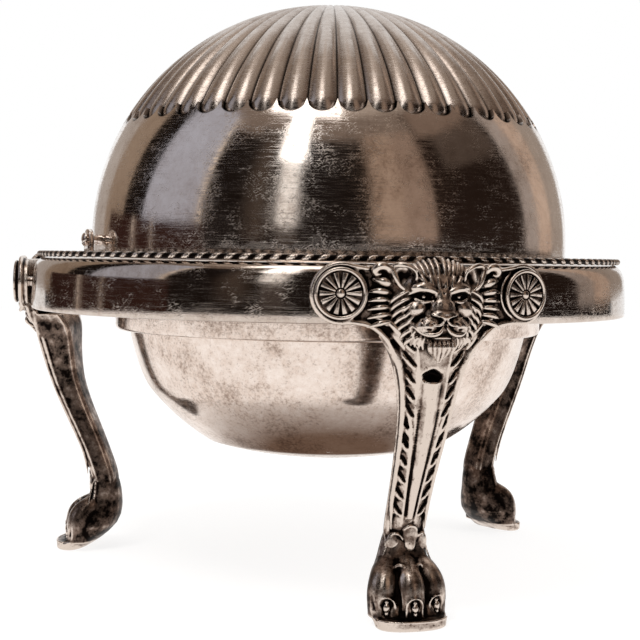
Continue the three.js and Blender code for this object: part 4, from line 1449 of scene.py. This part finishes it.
def makeLiner(s):
    low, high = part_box("glass_liner")
    footZ, rimTop, rim = low.z / mm, high.z / mm, high.x / mm
    seat = rimTop - s["seatDrop"]
    wall, edge = s["wall"], s["round"]
    side = rim - s["overhang"]
    outline = [(0, footZ + s["footRing"]), (s["foot"] - 5, footZ + s["footRing"]), (s["foot"] - 4, footZ)]
    outline += bezier((s["foot"], footZ), (side, footZ + wall), (side, seat), 18)
    outline += arc((rim - edge, seat + edge), edge, -90, 0, 4)
    outline += arc((rim - edge, rimTop - edge), edge, 0, 90, 4)
    outline += arc((side - wall + edge, rimTop - edge), edge, 90, 180, 4)
    outline += bezier((side - wall, rimTop - edge), (side - wall, footZ + 2 * wall),
                      (s["foot"] - wall, footZ + wall), 18)
    outline += [(0, footZ + wall)]
    addPiece("liner", spunMesh(outline, s["steps"]), "liner", ["glass_liner"], glass)


# Clear pressed glass: smooth, with the faint green of plain soda glass
def clearGlass(name):
    material, tree, surface = newMaterial(name)
    surface.inputs["Base Color"].default_value = linear("#eef7f3")
    surface.inputs["Roughness"].default_value = 0.03
    surface.inputs["IOR"].default_value = 1.52
    surface.inputs["Transmission Weight"].default_value = 1
    return material


glass = clearGlass("clear pressed soda glass")
makeBridge(linerSettings)
makeLiner(linerSettings)


# Pivots: a bracket on the ring, a bush, a round-headed pin and a nut inside the lid
pivotSettings = {
    "pinRadius": 1.1,
    "headRadius": 2.1,
    "headLength": 1.2,
    "bushRadius": 1.7,
    "bushLength": 3,
    "wall": 1.4,
    "width": 6.4,
    "footLength": 6.6,
    "nutRadius": 2.9,
    "nutLength": 2,
    "gap": 0.3,
    "steps": 32,
}


def outwards(bm, height):
    # lays a piece built up the z axis so that it points outwards at the front
    place = Matrix.Translation((0, 0, height)) @ Matrix.Rotation(math.pi / 2, 4, "X")
    bmesh.ops.transform(bm, matrix=place, verts=bm.verts)
    return bm


def makePivot(side, turn, s):
    bushInner = lidRadius + s["gap"]
    tabInner = bushInner + s["bushLength"] + s["gap"]
    tabOuter = tabInner + s["wall"]
    head = tabOuter + s["gap"]
    nutOuter = lidRadius - lidSettings["wall"] - s["gap"] * 1.5
    pin, big = s["pinRadius"], s["headRadius"]
    outline = [(0, nutOuter - s["nutLength"] - s["gap"]), (pin, nutOuter - s["nutLength"] - s["gap"]),
               (pin, head), (big - 0.2, head)]
    outline += bezier((big, head + 0.2), (big, head + s["headLength"]), (0, head + s["headLength"]), 8)
    addPiece("pin_" + side, outwards(spunMesh(outline, s["steps"]), pivotZ), "lid", ["pivot_pin_" + side],
             plate, turn)
    r, long = s["bushRadius"], s["bushLength"]
    hole = pin + 0.1
    outline = [(hole, bushInner), (r - 0.2, bushInner), (r, bushInner + 0.25), (r, bushInner + long * 0.55),
               (r - 0.35, bushInner + long * 0.62), (r - 0.35, bushInner + long * 0.7),
               (r - 0.05, bushInner + long * 0.78),
               (r - 0.05, bushInner + long - 0.15), (r - 0.2, bushInner + long), (hole, bushInner + long)]
    addPiece("bush_" + side, outwards(spunMesh(outline, s["steps"]), pivotZ), "lid", ["pivot_bush_" + side],
             plate, turn)
    bm = bmesh.new()
    bmesh.ops.create_cone(bm, cap_ends=True, segments=6, radius1=s["nutRadius"], radius2=s["nutRadius"],
                          depth=s["nutLength"],
                          matrix=Matrix.Translation((0, 0, nutOuter - s["nutLength"] / 2)))
    bmesh.ops.bevel(bm, geom=bm.edges, offset=0.2, segments=2, profile=0.5, affect="EDGES", material=-1)
    addPiece("nut_" + side, outwards(bm, pivotZ), "lid", ["pivot_nut_" + side], plate, turn)
    bm = bmesh.new()
    half = s["width"] / 2
    foot = ringTop + s["gap"]
    tab = [(half, foot), (-half, foot)] + [(-x, z) for x, z in arc((0, pivotZ), half, 0, 180, 24)]
    verts = [bm.verts.new((x, -tabInner, z)) for x, z in tab]
    face = bmesh.ops.contextual_create(bm, geom=verts)["faces"]
    extruded(bm, face, (0, -s["wall"], 0))
    length = s["footLength"] + s["wall"]
    place = Matrix.Translation((0, -tabInner - length / 2, foot + s["wall"] / 2))
    bmesh.ops.create_cube(bm, size=1, matrix=place @ Matrix.Diagonal((s["width"], length, s["wall"], 1)))
    bmesh.ops.recalc_face_normals(bm, faces=bm.faces)
    edges = [e for e in bm.edges if e.is_manifold and e.calc_face_angle(0) > 0.6]
    bmesh.ops.bevel(bm, geom=edges, offset=0.3, segments=3, profile=0.5, affect="EDGES", material=-1)
    addPiece("bracket_" + side, bm, "stand", ["pivot_bracket_" + side], plate, turn)


for side, turn in (("left", lidTurn - 90), ("right", lidTurn + 90)):
    makePivot(side, turn, pivotSettings)


# Leg screws: cheese heads with a slot, inside the band
screwSettings = {
    "bandIn": 2,            # the inside of the band lies this far inside its outer radius
    "radius": 1.5,
    "headRadius": 2.8,
    "headLength": 1.8,
    "slot": 0.35,
    "slotDepth": 0.8,
    "intoLeg": 3,
    "gap": 0.3,
}


def makeScrew(name, node, turn, s):
    headOuter = ringSettings["outer"] - s["bandIn"] - s["gap"]
    headInner = headOuter - s["headLength"]
    tip = ringSettings["outer"] + 1 + s["intoLeg"] - s["gap"]
    outline = [(0, headInner)] + arc((s["headRadius"] - 0.4, headInner + 0.4), 0.4, 270, 360, 3)
    outline += [(s["headRadius"], headOuter), (s["radius"], headOuter), (s["radius"], tip), (0, tip)]
    bm = spunMesh(outline, 32)
    for x in (-s["slot"], s["slot"]):
        geom = bm.verts[:] + bm.edges[:] + bm.faces[:]
        bmesh.ops.bisect_plane(bm, geom=geom, dist=1e-5, plane_co=(x, 0, 0), plane_no=(1, 0, 0))
    middles = [(f, f.calc_center_median()) for f in bm.faces]
    strip = [f for f, middle in middles if abs(middle.x) < s["slot"] and middle.z < headInner + 0.3]
    extruded(bm, strip, (0, 0, s["slotDepth"]))
    bmesh.ops.delete(bm, geom=strip, context="FACES")
    addPiece(name, outwards(bm, legSettings["rosetteZ"]), "stand", [node], plate, turn)


for place, turn in (("front", 0), ("left", -115), ("right", 115)):
    for number, step in ((1, -15), (2, 15)):
        name = "%s_%d" % (place, number)
        makeScrew("screw_" + name, "leg_screw_" + name, turn + step, screwSettings)
print("small parts made")


# Stage, reflectors and light
stageSettings = {
    "floorSize": 4,
    "floorColour": "#8c8a88",
    "floorBright": 0.82,
    "worldColour": "#ffffff",
    "worldLight": 0.85,
}


def plainRays(tree):
    # what the camera sees, straight, mirrored or through glass
    rays = addNode(tree, "ShaderNodeLightPath").outputs
    shown = rays["Is Camera Ray"]
    for kind in ("Is Glossy Ray", "Is Transmission Ray"):
        shown = addNode(tree, "ShaderNodeMath", {0: shown, 1: rays[kind]}, operation="MAXIMUM").outputs[0]
    return shown


def makeStage(s):
    bm = bmesh.new()
    bmesh.ops.create_circle(bm, cap_ends=True, segments=64, radius=s["floorSize"] / 2)
    mesh = finishedMesh(bm, "floor")
    floor = newObject("floor", mesh)
    # the camera sees bright paper with a faint shadow, the dish is lit by plain grey
    material, tree, surface = newMaterial("floor, matt white paper")
    surface.inputs["Base Color"].default_value = linear(s["floorColour"])
    surface.inputs["Roughness"].default_value = 0.9
    surface.inputs["Specular IOR Level"].default_value = 0
    surface.inputs["Emission Color"].default_value = linear(s["worldColour"])
    bright = addNode(tree, "ShaderNodeMath", {0: plainRays(tree), 1: s["floorBright"]}, operation="MULTIPLY")
    tree.links.new(bright.outputs[0], surface.inputs["Emission Strength"])
    mesh.materials.append(material)
    world = bpy.data.worlds.new("studio")
    bpy.context.scene.world = world
    world.use_nodes = True
    tree = world.node_tree
    tree.nodes.clear()
    light = addNode(tree, "ShaderNodeBackground", {
        "Color": linear(s["worldColour"]), "Strength": s["worldLight"]})
    white = addNode(tree, "ShaderNodeBackground", {"Color": linear(s["worldColour"]), "Strength": 1})
    mix = addNode(tree, "ShaderNodeMixShader", {
        0: plainRays(tree), 1: light.outputs[0], 2: white.outputs[0]})
    addNode(tree, "ShaderNodeOutputWorld", {"Surface": mix.outputs[0]})


makeStage(stageSettings)

# Reflector cards stand round the dish, where only its polished metal sees them. Azimuths are
# from the camera's side, to the right; rises are degrees above the middle of the ring.
cardSettings = {
    "distance": 1.3,
    "cards": [
        # name, azimuths, rises, colour, strength, nearer than the rest, share of soft edge
        ("roomDark", (-130, 130), (-4, 46), "#1b1512", 1, 0, 0),
        ("roomUpper", (-130, 130), (46, 60), "#7a6b60", 1, 0, 0),
        ("stripFoot", (-25, -14), (-1, 7), "#4c433d", 1, 0.05, 0.2),
        ("stripLow", (-25, -14), (7, 36), "#fffaf4", 1.05, 0.05, 0.15),
        ("stripHigh", (-28, -12), (36, 62), "#fffcf8", 3, 0.05, 0.15),
        ("stripGlow", (-42, -25), (1, 50), "#4e4239", 1, 0.04, 0.5),
        ("windowLeft", (-96, -63), (7, 52), "#ababb4", 1, 0.05, 0),
        ("windowFrame", (-63, -60), (5, 50), "#d3c4b5", 1, 0.06, 0),
        ("doorRight", (19, 34), (1, 48), "#a8917f", 1, 0.05, 0),
        ("wallRight", (34, 49), (1, 48), "#957f70", 1, 0.05, 0),
        ("darkRight", (49, 101), (-1, 44), "#241a15", 1, 0.05, 0),
        ("hazeRight", (58, 101), (30, 44), "#51453d", 1, 0.06, 0.1),
        ("hazeUpper", (49, 101), (44, 56), "#7a675a", 1, 0.05, 0.1),
        ("edgeRight", (102, 114), (-1, 44), "#a3978f", 1, 0.05, 0),
        ("postRight", (114, 128), (-1, 50), "#c2aa98", 1, 0.06, 0),
        ("edgeFar", (128, 150), (-1, 50), "#a09388", 1, 0.06, 0),
        ("postLeft", (-132, -112), (-1, 50), "#93806f", 1, 0.06, 0),
        ("edgeLeft", (-152, -132), (-1, 50), "#b0a69e", 1, 0.06, 0),
        ("bandLeft", (-125, -58), (-6, 7), "#33201b", 1, 0.08, 0),
        ("bandLineFar", (-103.4, -101.6), (-6, 7), "#b5a598", 1, 0.09, 0),
        ("bandLineDim", (-101, -99.8), (-6, 7), "#77675d", 1, 0.09, 0),
        ("bandLineNear", (-89.4, -88.2), (-6, 7), "#b5a598", 1, 0.09, 0),
    ],
    "levels": [
        # name, azimuths, radii, height, inner and outer colour, radii between which it changes, strength
        ("ceiling", (0, 360), (0, 0.33), 1.45, "#d8ccc1", "#cbbdb1", (0, 0.33), 1),
        ("skyLight", (-48, 8), (0.33, 0.85), 1.45, "#b5a99f", "#fff8f2", (0.33, 0.55), 2.6),
        ("skyLeft", (-130, -48), (0.33, 0.85), 1.45, "#b8a89b", "#a59689", (0.33, 0.85), 1),
        ("skyRight", (8, 130), (0.33, 0.85), 1.45, "#bdada0", "#ab9c8f", (0.33, 0.85), 1),
        # the table card is brown under the dish: a painted shadow of the dish in the table's reflection
        ("table", (0, 360), (0.001, 1.5), 0.0004, "#6d594c", "#fffaf6", (0.03, 0.09), 1),
    ],
}


def makeCard(name, ends, azimuths, strength):
    # spins a line of (reach, height) round the dish, in metres
    turns = [math.radians(a + cameraSettings["azimuth"]) for a in azimuths]
    bm = bmesh.new()
    verts = [bm.verts.new((r * math.sin(turns[0]), -r * math.cos(turns[0]), z)) for r, z in ends]
    edge = bm.edges.new(verts)
    bmesh.ops.spin(bm, geom=verts + [edge], cent=(0, 0, 0), axis=(0, 0, 1),
                   angle=turns[1] - turns[0], steps=48, use_merge=azimuths == (0, 360))
    mesh = finishedMesh(bm, name)
    card = newObject(name, mesh)
    material, tree, surface = newMaterial(name)
    surface.inputs["Base Color"].default_value = linear("#000000")
    surface.inputs["Specular IOR Level"].default_value = 0
    surface.inputs["Emission Strength"].default_value = strength
    mesh.materials.append(material)
    card.visible_camera = False
    card.visible_diffuse = False
    card.visible_transmission = False
    card.visible_shadow = False
    return tree, surface.inputs["Emission Color"]


def makeCards(s):
    dark = s["cards"][0][3]
    for name, azimuths, rises, colour, strength, nearer, soft in s["cards"]:
        reach = s["distance"] - nearer
        low, high = [pivotZ * mm + reach * math.tan(math.radians(r)) for r in rises]
        tree, socket = makeCard(name, ((reach, low), (reach, high)), azimuths, strength)
        socket.default_value = linear(colour)
        if soft:
            left, right = [math.radians(a + cameraSettings["azimuth"]) for a in azimuths]
            place = addNode(tree, "ShaderNodeTexCoord").outputs["Object"]
            split = addNode(tree, "ShaderNodeSeparateXYZ", {"Vector": place}).outputs
            ahead = addNode(tree, "ShaderNodeMath", {0: split["Y"], 1: -1}, operation="MULTIPLY").outputs[0]
            turn = addNode(tree, "ShaderNodeMath", {0: split["X"], 1: ahead}, operation="ARCTAN2").outputs[0]
            across = addNode(tree, "ShaderNodeMapRange", {
                "Value": turn, "From Min": left, "From Max": right}).outputs[0]
            shade = addNode(tree, "ShaderNodeValToRGB", {"Fac": across}, stops=[
                (0, dark), (soft, colour), (1 - soft, colour), (1, dark)])
            tree.links.new(shade.outputs["Color"], socket)
    for name, azimuths, radii, height, inner, outer, change, strength in s["levels"]:
        tree, socket = makeCard(name, ((radii[0], height), (radii[1], height)), azimuths, strength)
        place = addNode(tree, "ShaderNodeTexCoord").outputs["Object"]
        away = addNode(tree, "ShaderNodeVectorMath", {0: place}, operation="LENGTH").outputs["Value"]
        share = addNode(tree, "ShaderNodeMapRange", {
            "Value": away, "From Min": change[0], "From Max": change[1]}).outputs[0]
        shade = addNode(tree, "ShaderNodeValToRGB", {"Fac": share}, stops=[(0, inner), (1, outer)])
        tree.links.new(shade.outputs["Color"], socket)


makeCards(cardSettings)


# Lamps: name, azimuth and rise in degrees, distance and width in metres, watts
lampSettings = [
    ("keyLamp", -35, 55, 1.5, 0.5, 9),
    ("fillLamp", 60, 40, 1.6, 0.6, 4),
]


def addLamp(name, azimuth, rise, distance, size, power):
    turn = math.radians(azimuth + cameraSettings["azimuth"])
    tilt = math.radians(rise)
    away = Vector((math.sin(turn) * math.cos(tilt), -math.cos(turn) * math.cos(tilt), math.sin(tilt)))
    data = bpy.data.lights.new(name, "AREA")
    data.shape = "DISK"
    data.size = size
    data.energy = power
    lamp = newObject(name, data)
    lamp.location = away * distance + Vector((0, 0, 0.1))
    lamp.rotation_euler = away.to_track_quat("Z", "Y").to_euler()
    lamp.visible_glossy = False


for lamp in lampSettings:
    addLamp(*lamp)
print("stage and lamps made")

# The solids keep a finish of their own, in case one is shown
castNodes = [name for name in frame["nodes"] if name.startswith(("leg", "pivot", "rope"))]
for name, node in frame["nodes"].items():
    node.data.materials.clear()
    node.data.materials.append(castMetal if name in castNodes else plate)

bpy.context.scene.view_settings.view_transform = "Standard"
